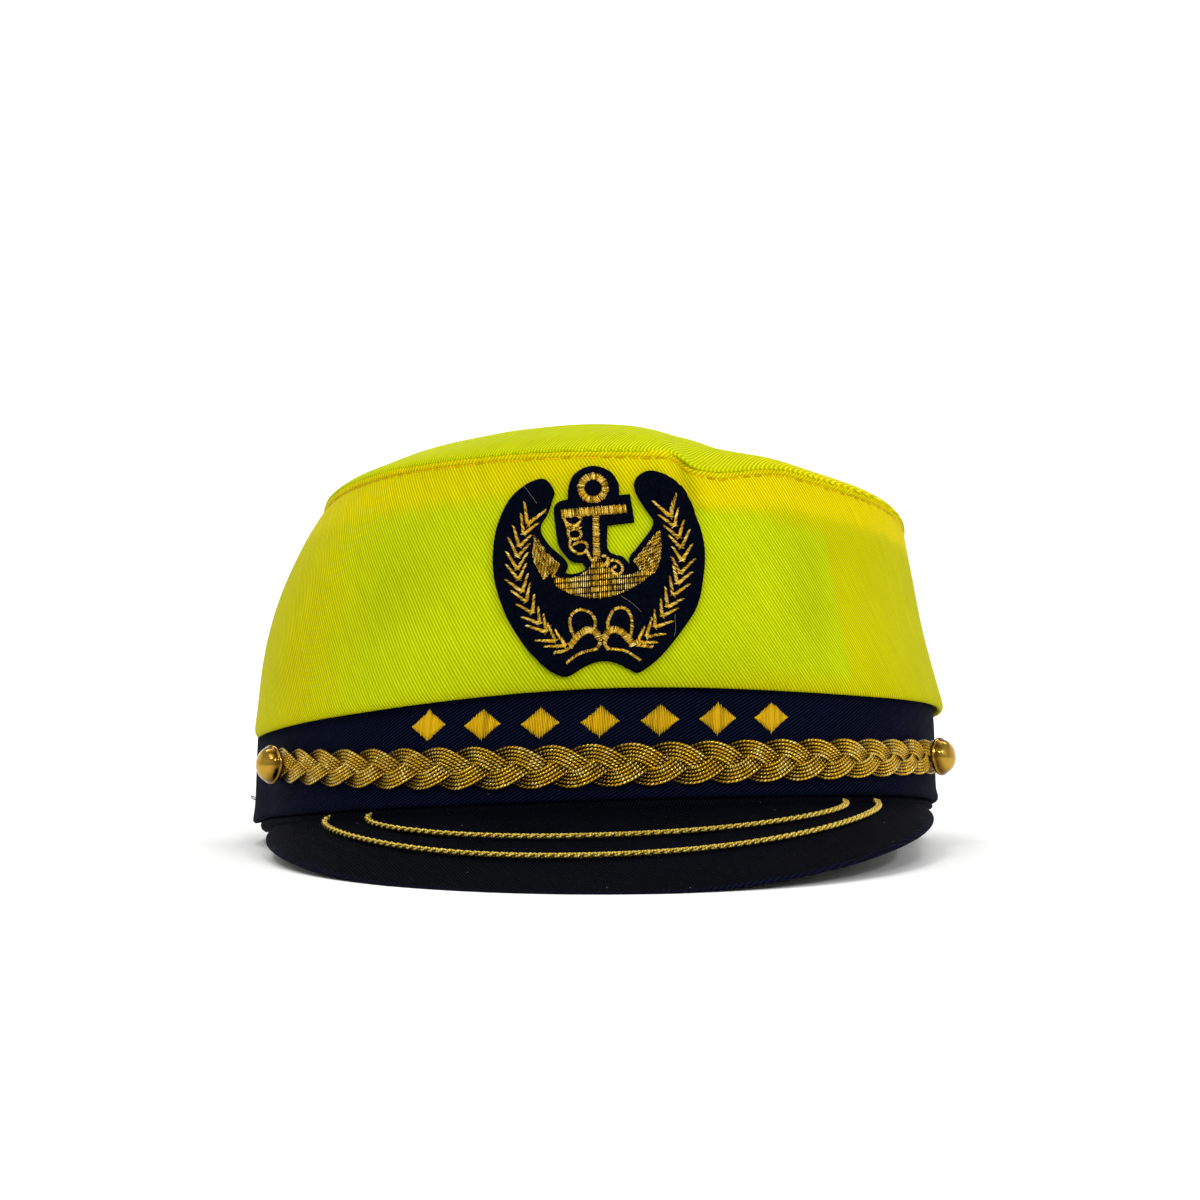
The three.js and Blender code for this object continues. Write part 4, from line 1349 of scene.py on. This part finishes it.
def felt_mesh(face):
    """The felt cut out with a slightly crushed edge and bent to the crown."""
    half = face.half
    bm = bmesh.new()
    edge = [bm.verts.new((u * half, v * half, 0)) for u, v in felt_outline()]
    plate = bm.faces.new(edge)
    if plate.normal.z < 0:
        plate.normal_flip()
    grown = bmesh.ops.extrude_face_region(bm, geom=[plate])
    top = [item for item in grown["geom"] if isinstance(item, bmesh.types.BMVert)]
    bmesh.ops.translate(bm, verts=top, vec=(0, 0, shape().felt_thick))
    bmesh.ops.recalc_face_normals(bm, faces=bm.faces)
    rim = [e for e in bm.edges if all(v.co.z > shape().felt_thick / 2 for v in e.verts)]
    bmesh.ops.bevel(bm, geom=rim, offset=FELT_CRUSH, segments=2, profile=0.5, affect="EDGES", material=-1)
    reach = int(half / FELT_MESH) + 1
    for normal in (Vector((1, 0, 0)), Vector((0, 1, 0))):
        for step in range(-reach, reach + 1):
            whole = bm.verts[:] + bm.edges[:] + bm.faces[:]
            place = normal * step * FELT_MESH
            bmesh.ops.bisect_plane(bm, geom=whole, plane_co=place, plane_no=normal, dist=CLOSE)
    bmesh.ops.triangulate(bm, faces=bm.faces)
    for vertex in bm.verts:
        flat = vertex.co.copy()
        rough = noise.noise(flat * 900) * FELT_NAP
        spot, _ = face.at(flat.x / half, flat.y / half, shape().gap + flat.z + (rough if flat.z > 0 else 0))
        vertex.co = spot
    return mesh_from(bm, "badge_felt")


# How far stitches lie above the felt
LOW = 0.35 * MM
MIDDLE = 0.5 * MM
HIGH = 0.55 * MM
STITCH_PLUMPNESS = 1.5


class Embroidery:
    """Gathers the stitches of one embroidered piece and lays them on the badge."""

    def __init__(self, face, seed):
        self.face = face
        self.draw = random.Random(seed)
        self.places = []
        self.tones = []
        self.base = shape().gap + shape().felt_thick

    def stitch(self, start, end, lift=LOW, radius=None):
        """One stitch between two badge shares."""
        radius = radius or trim().gold_thread
        first, normal = self.face.at(start[0], start[1], self.base + lift)
        last, _ = self.face.at(end[0], end[1], self.base + lift)
        if np.linalg.norm(last - first) > CLOSE:
            self.places.append(stitch_place(first, last, normal, radius, STITCH_PLUMPNESS))
            self.tones.append(self.draw.random())

    def satin(self, route, width, slant=90, closed=False, taper=0.0, lift=LOW, pitch=None):
        """Cross stitches of a width, in metres, all along a route of badge shares."""
        half = self.face.half
        line = smooth_route(np.array(route) * half, pitch or trim().gold_pitch, closed)
        along = np.gradient(line, axis=0)
        along /= np.linalg.norm(along, axis=1, keepdims=True)
        turn = math.radians(slant)
        for i, (place, run) in enumerate(zip(line, along)):
            share = i / (len(line) - 1)
            wide = width * (1 - taper * share) * self.draw.uniform(0.88, 1.08)
            across = turned(run, turn) / abs(math.sin(turn))
            middle = place + self.draw.uniform(-0.04, 0.04) * MM
            self.stitch((middle - across * wide / 2) / half, (middle + across * wide / 2) / half, lift)

    def fill(self, outline, angle, stitch, pitch, row, lift=LOW, radius=None):
        """Rows of stitches at an angle that fill an outline of badge shares.

        Row is the share of a stitch by which each row is set off from the one before.
        """
        half = self.face.half
        outline = np.array(outline) * half
        turn = math.radians(angle)
        along = np.array([math.cos(turn), math.sin(turn)])
        across = np.array([-along[1], along[0]])
        reach_a = outline @ along
        reach_c = outline @ across
        lines = int((reach_c.max() - reach_c.min()) / pitch)
        for i in range(lines + 1):
            side = reach_c.min() + i * pitch
            start = reach_a.min() - stitch * ((i * row) % 1.0)
            while start < reach_a.max():
                end = start + stitch * self.draw.uniform(0.9, 1.0)
                tries = np.linspace(start, end, 7)
                inside = [t for t in tries if is_inside(outline, along * t + across * side)]
                if len(inside) > 1:
                    self.stitch(
                        (along * inside[0] + across * side) / half,
                        (along * inside[-1] + across * side) / half,
                        lift + self.draw.uniform(-0.05, 0.05) * MM,
                        radius,
                    )
                start += stitch

    def piece(self, name, material, node):
        mesh = strewn(name, thread_unit(), self.places, self.tones)
        return make_piece(name, mesh, material, [node])


def is_inside(outline, point):
    """Whether a flat point lies in a closed outline."""
    x, y = point
    inside = False
    for (ax, ay), (bx, by) in zip(outline, np.roll(outline, -1, axis=0)):
        if (ay > y) != (by > y) and x < (bx - ax) * (y - ay) / (by - ay) + ax:
            inside = not inside
    return inside


RING = {"x": -0.065, "y": 0.758, "radius": 0.113, "width": 2.1 * MM}
STOCK = {"left": -0.355, "right": 0.24, "low_left": 0.515, "low_right": 0.565, "width": 2.6 * MM}
SHANK = [(-0.04, 0.5), (-0.032, 0.1)]
CRESCENT_BODY = [
    (-0.46, -0.03), (-0.41, -0.17), (-0.28, -0.24), (-0.12, -0.28), (0.0, -0.285), (0.15, -0.255),
    (0.27, -0.2), (0.4, -0.12), (0.5, -0.03), (0.37, 0.0), (0.28, -0.05), (0.19, -0.05), (0.11, -0.01),
    (0.02, 0.07), (-0.01, 0.12), (-0.06, 0.12), (-0.09, 0.02), (-0.17, -0.05), (-0.25, -0.075),
    (-0.37, -0.08),
]
ARM_LEFT = [
    (-0.61, 0.33), (-0.63, 0.15), (-0.6, 0.03), (-0.52, -0.11), (-0.45, -0.05), (-0.42, -0.08),
    (-0.36, 0.04), (-0.47, 0.14), (-0.55, 0.25),
]
ARM_RIGHT = [
    (0.555, 0.38), (0.57, 0.22), (0.56, 0.1), (0.51, -0.04), (0.42, -0.06), (0.36, 0.0), (0.3, 0.07),
    (0.38, 0.17), (0.48, 0.3),
]
ROPE_CURLS = [
    [(-0.33, 0.47), (-0.3, 0.42), (-0.22, 0.41), (-0.17, 0.46), (-0.2, 0.49)],
    [(-0.31, 0.44), (-0.29, 0.38), (-0.22, 0.4), (-0.18, 0.38)],
    [(-0.29, 0.36), (-0.28, 0.29), (-0.2, 0.28), (-0.17, 0.33), (-0.22, 0.37), (-0.28, 0.35)],
    [(-0.27, 0.28), (-0.27, 0.2), (-0.2, 0.14), (-0.13, 0.16), (-0.12, 0.23), (-0.18, 0.25), (-0.25, 0.22)],
    [(-0.12, 0.17), (-0.09, 0.1), (-0.05, 0.06)],
    [(0.02, 0.12), (0.07, 0.1), (0.05, 0.04), (0.0, 0.02)],
    [(0.06, 0.02), (0.09, 0.07), (0.15, 0.07), (0.2, 0.02), (0.19, -0.04), (0.13, -0.05), (0.11, 0.0),
     (0.15, 0.02)],
]
BOW_LEFT = {
    "loop": [(-0.22, -0.65), (-0.265, -0.56), (-0.275, -0.475), (-0.24, -0.405), (-0.17, -0.38),
             (-0.09, -0.41), (-0.045, -0.48), (-0.05, -0.56)],
    "fold": [(-0.27, -0.715), (-0.2, -0.625), (-0.12, -0.57), (-0.045, -0.585), (0.0, -0.655)],
    "tie": [(0.0, -0.655), (-0.005, -0.7), (-0.035, -0.745)],
    "tail": [(-0.035, -0.745), (-0.11, -0.76), (-0.185, -0.785), (-0.25, -0.825), (-0.305, -0.87)],
    "stem": [(-0.42, -0.775), (-0.33, -0.76), (-0.265, -0.72)],
}
BOW_RIGHT = {
    "loop": [(0.27, -0.645), (0.29, -0.55), (0.285, -0.455), (0.25, -0.385), (0.19, -0.36), (0.12, -0.39),
             (0.075, -0.48), (0.07, -0.56)],
    "fold": [(0.3, -0.71), (0.22, -0.61), (0.145, -0.565), (0.075, -0.58), (0.04, -0.655)],
    "tie": [(0.04, -0.655), (0.045, -0.7), (0.07, -0.74)],
    "tail": [(0.07, -0.74), (0.15, -0.745), (0.235, -0.76), (0.3, -0.8), (0.365, -0.845)],
    "stem": [(0.475, -0.72), (0.37, -0.71), (0.29, -0.7)],
}
BRANCH_LEFT = [
    (-0.3, -0.72), (-0.42, -0.66), (-0.56, -0.5), (-0.69, -0.28), (-0.76, -0.04), (-0.75, 0.2),
    (-0.67, 0.42),
]
BRANCH_RIGHT = [
    (0.32, -0.69), (0.43, -0.62), (0.56, -0.45), (0.68, -0.22), (0.745, 0.02), (0.74, 0.24), (0.65, 0.5),
]
LEAF_PAIRS = 12
# Outer and inner leaves: their spread from the stem in degrees and their length as a badge share
LEAF = {"width": 1.15 * MM, "slant": 36, "outer": (30, 0.18), "inner": (34, 0.162)}
LEAF_STITCH = {"taper": 0.5, "pitch": 0.4 * MM}
TIP_LEAVES = {"turns": (-0.55, 0.5), "reach": 0.21, "width": 1.3 * MM, "slant": 35}
HAIRS = [
    [(-0.72, 0.8), (-0.48, 0.51)], [(0.19, -0.25), (0.38, -0.4)], [(0.69, -0.42), (0.68, -0.62)],
    [(0.43, 0.46), (0.32, 0.16)],
]


def embroider_anchor(face, material):
    work = Embroidery(face, 31)
    ring = [
        (RING["x"] + RING["radius"] * math.cos(t), RING["y"] + RING["radius"] * math.sin(t))
        for t in np.linspace(0, 2 * math.pi, 24, endpoint=False)
    ]
    work.satin(ring, RING["width"], slant=96, closed=True, lift=MIDDLE)
    stock = [(STOCK["left"], STOCK["low_left"]), (STOCK["right"], STOCK["low_right"])]
    work.satin(SHANK, 2.0 * MM, slant=84, lift=0.45 * MM)
    work.satin(stock, STOCK["width"], slant=92, lift=HIGH)
    work.fill(ARM_LEFT, 118, 1.3 * MM, 0.36 * MM, 0.37)
    work.fill(ARM_RIGHT, 62, 1.3 * MM, 0.36 * MM, 0.37)
    work.fill(CRESCENT_BODY, 90, 1.6 * MM, 0.54 * MM, 0.03, lift=MIDDLE, radius=0.17 * MM)
    work.piece("badge_anchor_stitches", material, "badge_anchor")


def embroider_rope(face, material):
    work = Embroidery(face, 37)
    for curl in ROPE_CURLS:
        work.satin(curl, 0.85 * MM, slant=62, lift=0.75 * MM, pitch=0.3 * MM)
    work.piece("badge_rope_stitches", material, "badge_rope")


def embroider_bow(face, material):
    work = Embroidery(face, 41)
    for bow in (BOW_LEFT, BOW_RIGHT):
        work.satin(bow["loop"], 0.95 * MM, slant=70, pitch=0.32 * MM)
        work.satin(bow["fold"], 2.0 * MM, slant=80, lift=HIGH)
        work.satin(bow["tie"], 1.1 * MM, slant=80, lift=MIDDLE)
        work.satin(bow["tail"], 0.85 * MM, slant=60, pitch=0.32 * MM)
        work.satin(bow["stem"], 0.95 * MM, slant=60, pitch=0.32 * MM)
    work.piece("badge_bow_stitches", material, "badge_bow")


def embroider_branch(face, material, name, node, stem, hand, seed):
    """A laurel branch: pairs of slim leaves that point along a stem, the outer ones the longest."""
    work = Embroidery(face, seed)
    line = smooth_route(np.array(stem), 0.02)
    run = np.gradient(line, axis=0)
    run /= np.linalg.norm(run, axis=1, keepdims=True)
    for i in range(LEAF_PAIRS):
        at = int((i + 0.2) / LEAF_PAIRS * (len(line) - 1))
        foot = line[at]
        for side, (spread, reach) in ((hand, LEAF["outer"]), (-hand, LEAF["inner"])):
            turn = math.radians(spread + work.draw.uniform(-5, 5)) * side
            ahead = turned(run[at], turn) * reach * work.draw.uniform(0.9, 1.1)
            work.satin([foot, foot + ahead], LEAF["width"], slant=LEAF["slant"] * side, **LEAF_STITCH)
    tip = line[-1]
    for turn in TIP_LEAVES["turns"]:
        ahead = turned(run[-1], turn) * TIP_LEAVES["reach"]
        work.satin([tip, tip + ahead], TIP_LEAVES["width"], slant=TIP_LEAVES["slant"], **LEAF_STITCH)
    work.piece(name, material, node)


# The row of lozenges on the band

LOZENGE_STITCH = {"pitch": 0.42 * MM, "radius": 0.2 * MM, "plump": 2.2, "rise": 0.32 * MM, "over": 0.25 * MM}
LOZENGE_NODES = sorted(
    (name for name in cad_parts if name.startswith("motif_")), key=lambda name: int(name.split("_")[1])
)


def lozenge_mesh(tree, index):
    """One lozenge of upright satin stitches, plump in the middle."""
    size = shape()
    draw = random.Random(100 + index)
    span = math.degrees(size.lozenge_span)
    middle = (index / (len(LOZENGE_NODES) - 1) * 2 - 1) * span
    braid_top = float(braid_height(np.array(middle))) + size.braid_height / 2
    above = braid_top + size.lozenge_clearance + size.lozenge_height / 2
    stitch = LOZENGE_STITCH
    count = int(size.lozenge_width / stitch["pitch"])
    places = []
    for i in range(count + 1):
        share = i / count * 2 - 1
        tall = size.lozenge_height / 2 * (1 - abs(share)) + stitch["over"]
        angle = middle + math.degrees(share * size.lozenge_width / size.band_width)
        ends = []
        for side in (-1, 1):
            height = above + side * tall * draw.uniform(0.92, 1.06)
            place, normal = side_hit(tree, angle + 0.12 * side, height)
            ends.append(place + normal * stitch["rise"])
        places.append(stitch_place(ends[0], ends[1], normal, stitch["radius"], stitch["plump"]))
    return strewn(f"lozenge_{index + 1}", thread_unit(), places, [draw.random() for _ in places])


# The buttons

BUTTON_PROFILE = [
    (0.0, 0.0), (0.62, 0.0), (0.7, 0.1), (0.96, 0.14), (1.0, 0.2), (1.0, 0.28), (0.975, 0.34),
    (0.93, 0.37), (0.9, 0.42), (0.86, 0.54), (0.74, 0.73), (0.55, 0.88), (0.3, 0.97), (0.0, 1.0),
]


# Each button leans this share of the way from the front towards its own place on the band
BUTTON_LEAN = 0.8


def lathe(profile, steps):
    """A round shape turned about Z from a profile of radii and heights."""
    bm = bmesh.new()
    verts = [bm.verts.new((radius, 0, height)) for radius, height in profile]
    edges = [bm.edges.new(pair) for pair in zip(verts, verts[1:])]
    bmesh.ops.spin(
        bm, geom=verts + edges, cent=(0, 0, 0), axis=(0, 0, 1), angle=2 * math.pi, steps=steps, use_merge=True
    )
    bmesh.ops.remove_doubles(bm, verts=bm.verts, dist=CLOSE)
    bmesh.ops.recalc_face_normals(bm, faces=bm.faces)
    return bm


def button_mesh(name, angle):
    """A domed button with a thin rim, turned from its profile, with its painted light and shade kept in a
    raised attribute.
    """
    size = shape()
    bm = lathe([(r * size.button_radius, d * size.button_depth) for r, d in BUTTON_PROFILE], 40)
    seat = size.gap * 2 + size.braid_thick + size.button_radius**2 / size.band_length
    height = float(braid_height(np.array(angle)))
    seated = on_band(angle, seat, height)
    outward = np.append(out_of_band(angle * BUTTON_LEAN), 0.0)
    place = settle(seated)
    out = Vector(settle(seated + outward * MM) - place).normalized()
    turn = Vector((0, 0, 1)).rotation_difference(out).to_matrix().to_4x4()
    bmesh.ops.transform(bm, matrix=Matrix.Translation(place) @ turn, verts=bm.verts)
    mesh = rounded(mesh_from(bm, name), 1)
    height = (read_points(mesh) - place) @ np.array(out) / size.button_depth
    # Raised paints light on the brass: painted shade at the rim's foot, a painted lit band on the rim's edge,
    # painted shade in the groove and low on the dome, and a lit top.
    write_layer(mesh, "raised", 0.75 * bell(height - 0.3, 0.06) + ramp(height, 0.42, 0.86))
    return mesh


# The operators


class CAPTAINHAT_OT_crown(bpy.types.Operator):
    """Dress the crown's side and tip in yellow twill with its stitched seam"""

    bl_idname = "captain_hat.crown"
    bl_label = "Crown"

    def execute(self, context):
        tones = colours()
        side = crown_side_mesh()
        cloth = yellow_twill("Crown twill", tones.yellow, 123)
        make_piece("crown_side_cloth", side, cloth, ["crown_side"])
        tip = yellow_twill("Tip twill", tones.yellow_tip, 62)
        make_piece("crown_top_cloth", crown_top_mesh(), tip, ["crown_top"])
        tree = face_tree(side)
        ridge = seam_ridge(tree)
        write_layer(ridge, "doubled", np.full(len(ridge.vertices), 0.7))
        make_piece("crown_seam_ridge", ridge, cloth)
        thread = plain_thread("Seam thread", tones.seam_yellow)
        make_piece("crown_seam_stitches", seam_stitches(tree), thread)
        return {"FINISHED"}


class CAPTAINHAT_OT_band(bpy.types.Operator):
    """Dress the band in navy twill with a few frayed threads"""

    bl_idname = "captain_hat.band"
    bl_label = "Band"

    def execute(self, context):
        tones = colours()
        cloth = navy_twill("Band twill", tones.navy, tones.navy_rib_highlight, trim().band_pitch, 30, 0.4)
        make_piece("band_cloth", band_mesh(), cloth, ["band"])
        frayed = plain_thread("Frayed thread", tones.navy)
        make_piece("band_frayed_threads", frayed_threads(), frayed)
        return {"FINISHED"}


class CAPTAINHAT_OT_visor(bpy.types.Operator):
    """Dress the visor in its dark cloth with a bound edge, and sew it under the band"""

    bl_idname = "captain_hat.visor"
    bl_label = "Visor"

    def execute(self, context):
        tones = colours()
        cloth = navy_twill("Visor twill", tones.peak, tones.peak_rib_highlight, trim().peak_pitch, 116, 1.0)
        make_piece("visor_cloth", visor_mesh(), cloth, ["visor"])
        make_piece("visor_join", visor_join(), cloth)
        return {"FINISHED"}


class CAPTAINHAT_OT_visor_cords(bpy.types.Operator):
    """Lay the two gold cords on the visor"""

    bl_idname = "captain_hat.visor_cords"
    bl_label = "Visor cords"

    def execute(self, context):
        size = trim()
        radius = size.edging_radius
        gold = gold_cord("Visor gold", colours().gold_pale, 0.0009, 2 * math.pi * radius, 0.3, 0.3)
        for node, route in EDGINGS.items():
            line, out = edging_line(**route)
            strands = plaited(line, out, size.edging_period, 1.4 * radius, 0.9 * radius, 1, radius, 0.3 * MM)
            paths = [path for strand in strands for path in strand]
            mesh = tubes(node, paths, radius, 6)
            # Raised is painted shade: the cords darken where a face turns away from straight up.
            write_layer(mesh, "raised", 0.4 + 0.6 * ramp(facing(mesh, np.array([0, 0, 1])), 0.1, 0.8))
            make_piece(node + "_plait", mesh, gold, [node])
        return {"FINISHED"}


class CAPTAINHAT_OT_braid(bpy.types.Operator):
    """Plait the gold braid across the band"""

    bl_idname = "captain_hat.braid"
    bl_label = "Braid"

    def execute(self, context):
        size = trim()
        radius = size.cord_radius
        line, out = braid_line(shape().gap + shape().braid_thick / 2)
        strands = plaited(
            line, out, size.plait_period, size.plait_spread, 0.66 * MM, size.plait_cords, radius,
            size.cord_pitch / 4, 0.16,
        )
        gold = gold_cord("Braid gold", colours().gold, size.cord_pitch, 2 * math.pi * radius, 0.1, 0.7)
        for index, paths in enumerate(strands):
            name = f"braid_strand_{index + 1}"
            mesh = tubes(name, paths, radius, 6, swells=beaded(paths, size.cord_pitch, 0.03))
            points = unsettle(read_points(mesh))
            angle = angle_round(points)
            seat = on_band(angle, 0.0, points[:, 2])
            height = np.linalg.norm(points - seat, axis=1) / shape().braid_thick
            outward = np.column_stack([out_of_band(angle), np.zeros(len(angle))])
            # Raised is painted shade: the cords darken low down by the band, under the crossing strands and
            # where a face turns sideways.
            write_layer(mesh, "raised", ramp(height, 0.35, 1.2) * ramp(facing(mesh, outward), 0.15, 0.95))
            make_piece(name, mesh, gold, ["braid"])
        return {"FINISHED"}


class CAPTAINHAT_OT_buttons(bpy.types.Operator):
    """Turn the two domed buttons at the ends of the braid"""

    bl_idname = "captain_hat.buttons"
    bl_label = "Buttons"

    def execute(self, context):
        brass = polished_brass("Button brass")
        for node, angle in (("button_left", shape().button_left), ("button_right", shape().button_right)):
            mesh = button_mesh(node, math.degrees(angle))
            make_piece(node + "_dome", mesh, brass, [node])
        return {"FINISHED"}


class CAPTAINHAT_OT_badge(bpy.types.Operator):
    """Cut the felt badge and embroider its anchor, rope, bow and laurel branches"""

    bl_idname = "captain_hat.badge"
    bl_label = "Badge"

    def execute(self, context):
        crown = bpy.data.objects.get("crown_side_cloth")
        if crown is None:
            raise RuntimeError("the crown has to be dressed before the badge")
        face = BadgeFace(crown.data)
        make_piece("badge_felt_cloth", felt_mesh(face), felt_cloth("Badge felt"), ["badge_felt"])
        lint = plain_thread("Lint", colour(160, 160, 146), 0.7)
        ends = [[face.at(*share, 1.9 * MM)[0] for share in pair] for pair in HAIRS]
        make_piece("badge_hairs", loose_fibres("hairs", ends, 0.5 * MM, 0.024 * MM, 9), lint)
        gold = gold_stitch("Embroidery gold")
        embroider_anchor(face, gold)
        embroider_rope(face, gold)
        embroider_bow(face, gold)
        embroider_branch(face, gold, "badge_branch_left", "badge_wreath_left", BRANCH_LEFT, 1, 43)
        embroider_branch(face, gold, "badge_branch_right", "badge_wreath_right", BRANCH_RIGHT, -1, 47)
        return {"FINISHED"}


class CAPTAINHAT_OT_lozenges(bpy.types.Operator):
    """Stitch the row of plain lozenges on the band"""

    bl_idname = "captain_hat.lozenges"
    bl_label = "Lozenges"

    def execute(self, context):
        band = bpy.data.objects.get("band_cloth")
        if band is None:
            raise RuntimeError("the band has to be dressed before its lozenges")
        tree = face_tree(band.data)
        thread = plain_thread("Lozenge thread", colours().lozenge_yellow, 0.4)
        for index, node in enumerate(LOZENGE_NODES):
            mesh = lozenge_mesh(tree, index)
            make_piece(f"lozenge_{index + 1}", mesh, thread, [node])
        return {"FINISHED"}


# The stage

CAMERA_PLACE = {"x": 0.0, "y": -0.66, "z": 0.06}
# The focal length and the horizon's row in pixels of a picture of this size
PICTURE_SIZE = 1200.0
CAMERA_FOCAL = 2244.0
HORIZON_ROW = 637.0
GROUND_PROFILE = [(0.0, 0.0), (1.6, 0.0), (2.1, 0.0), (2.45, 0.1), (2.7, 0.35), (2.8, 0.8), (2.82, 1.4)]
HAT_MIDDLE = (0, 0, 0.06)
SPARKLE_SIZE = (0.035, 0.035)
# Each light's place, what it looks at, its size and its power in watts
LIGHTS = {
    "key": ((-0.45, -0.75, 1.15), HAT_MIDDLE, (0.7, 0.5), 2.2),
    "fill": ((0.9, -0.8, 0.6), HAT_MIDDLE, (0.8, 0.6), 0.6),
    "top": ((0.1, 0.3, 1.3), HAT_MIDDLE, (1.0, 0.8), 3.0),
    "sparkle_1": ((0.16, -0.9, 0.62), HAT_MIDDLE, SPARKLE_SIZE, 1.7),
    "sparkle_2": ((-0.3, -0.8, 0.75), HAT_MIDDLE, SPARKLE_SIZE, 1.7),
    "sparkle_3": ((0.5, -0.7, 0.5), HAT_MIDDLE, SPARKLE_SIZE, 1.7),
    "backdrop": ((0.0, 0.8, 1.9), (0, 2.6, 0.3), (3.0, 0.8), 60),
}


def area_light(name, place, target, size, power):
    light = bpy.data.lights.new(name, "AREA")
    light.shape = "RECTANGLE"
    light.size, light.size_y = size
    light.energy = power
    lamp = bpy.data.objects.new(name, light)
    bpy.context.scene.collection.objects.link(lamp)
    lamp.location = place
    lamp.rotation_euler = (Vector(target) - Vector(place)).to_track_quat("-Z", "Y").to_euler()


class CAPTAINHAT_OT_stage(bpy.types.Operator):
    """Set the pale ground, the soft studio light and the camera"""

    bl_idname = "captain_hat.stage"
    bl_label = "Stage"

    def execute(self, context):
        scene = context.scene
        mesh = mesh_from(lathe(GROUND_PROFILE, 64), "ground")
        mesh.materials.append(ground_paint("Ground"))
        mesh.shade_smooth()
        ground = bpy.data.objects.new("ground", mesh)
        scene.collection.objects.link(ground)
        world = bpy.data.worlds.new("Studio")
        world.use_nodes = True
        background = world.node_tree.nodes["Background"]
        background.inputs["Color"].default_value = (1, 1, 1, 1)
        background.inputs["Strength"].default_value = 0.5
        scene.world = world
        scene.view_settings.view_transform = "Standard"
        for name, setting in LIGHTS.items():
            area_light(name, *setting)
        camera = bpy.data.cameras.new("camera")
        camera.sensor_width = 36
        camera.lens = camera.sensor_width * CAMERA_FOCAL / PICTURE_SIZE
        camera.shift_y = (HORIZON_ROW - PICTURE_SIZE / 2) / PICTURE_SIZE
        camera.clip_start = 0.01
        holder = bpy.data.objects.new("camera", camera)
        scene.collection.objects.link(holder)
        shift_x, shift_y = home()
        holder.location = (CAMERA_PLACE["x"] + shift_x, CAMERA_PLACE["y"] + shift_y, CAMERA_PLACE["z"])
        holder.rotation_euler = (math.pi / 2, 0, 0)
        scene.camera = holder
        return {"FINISHED"}


STEPS = [
    CAPTAINHAT_OT_stage,
    CAPTAINHAT_OT_crown,
    CAPTAINHAT_OT_band,
    CAPTAINHAT_OT_visor,
    CAPTAINHAT_OT_visor_cords,
    CAPTAINHAT_OT_braid,
    CAPTAINHAT_OT_buttons,
    CAPTAINHAT_OT_badge,
    CAPTAINHAT_OT_lozenges,
]


class CAPTAINHAT_PT_panel(bpy.types.Panel):
    """The steps that dress the hat"""

    bl_idname = "CAPTAINHAT_PT_panel"
    bl_label = "Captain hat"
    bl_space_type = "VIEW_3D"
    bl_region_type = "UI"
    bl_category = "Captain hat"

    def draw(self, context):
        for step in STEPS:
            self.layout.operator(step.bl_idname)


CLASSES = [HatShape, HatTrim, HatColours, *STEPS, CAPTAINHAT_PT_panel]


def register():
    for kind in CLASSES:
        bpy.utils.register_class(kind)
    bpy.types.Scene.hat_shape = bpy.props.PointerProperty(type=HatShape)
    bpy.types.Scene.hat_trim = bpy.props.PointerProperty(type=HatTrim)
    bpy.types.Scene.hat_colours = bpy.props.PointerProperty(type=HatColours)


def unregister():
    del bpy.types.Scene.hat_colours
    del bpy.types.Scene.hat_trim
    del bpy.types.Scene.hat_shape
    for kind in reversed(CLASSES):
        bpy.utils.unregister_class(kind)


def main():
    register()
    build_groups()
    for step in STEPS:
        group, name = step.bl_idname.split(".")
        getattr(getattr(bpy.ops, group), name)()


if __name__ == "__main__":
    main()
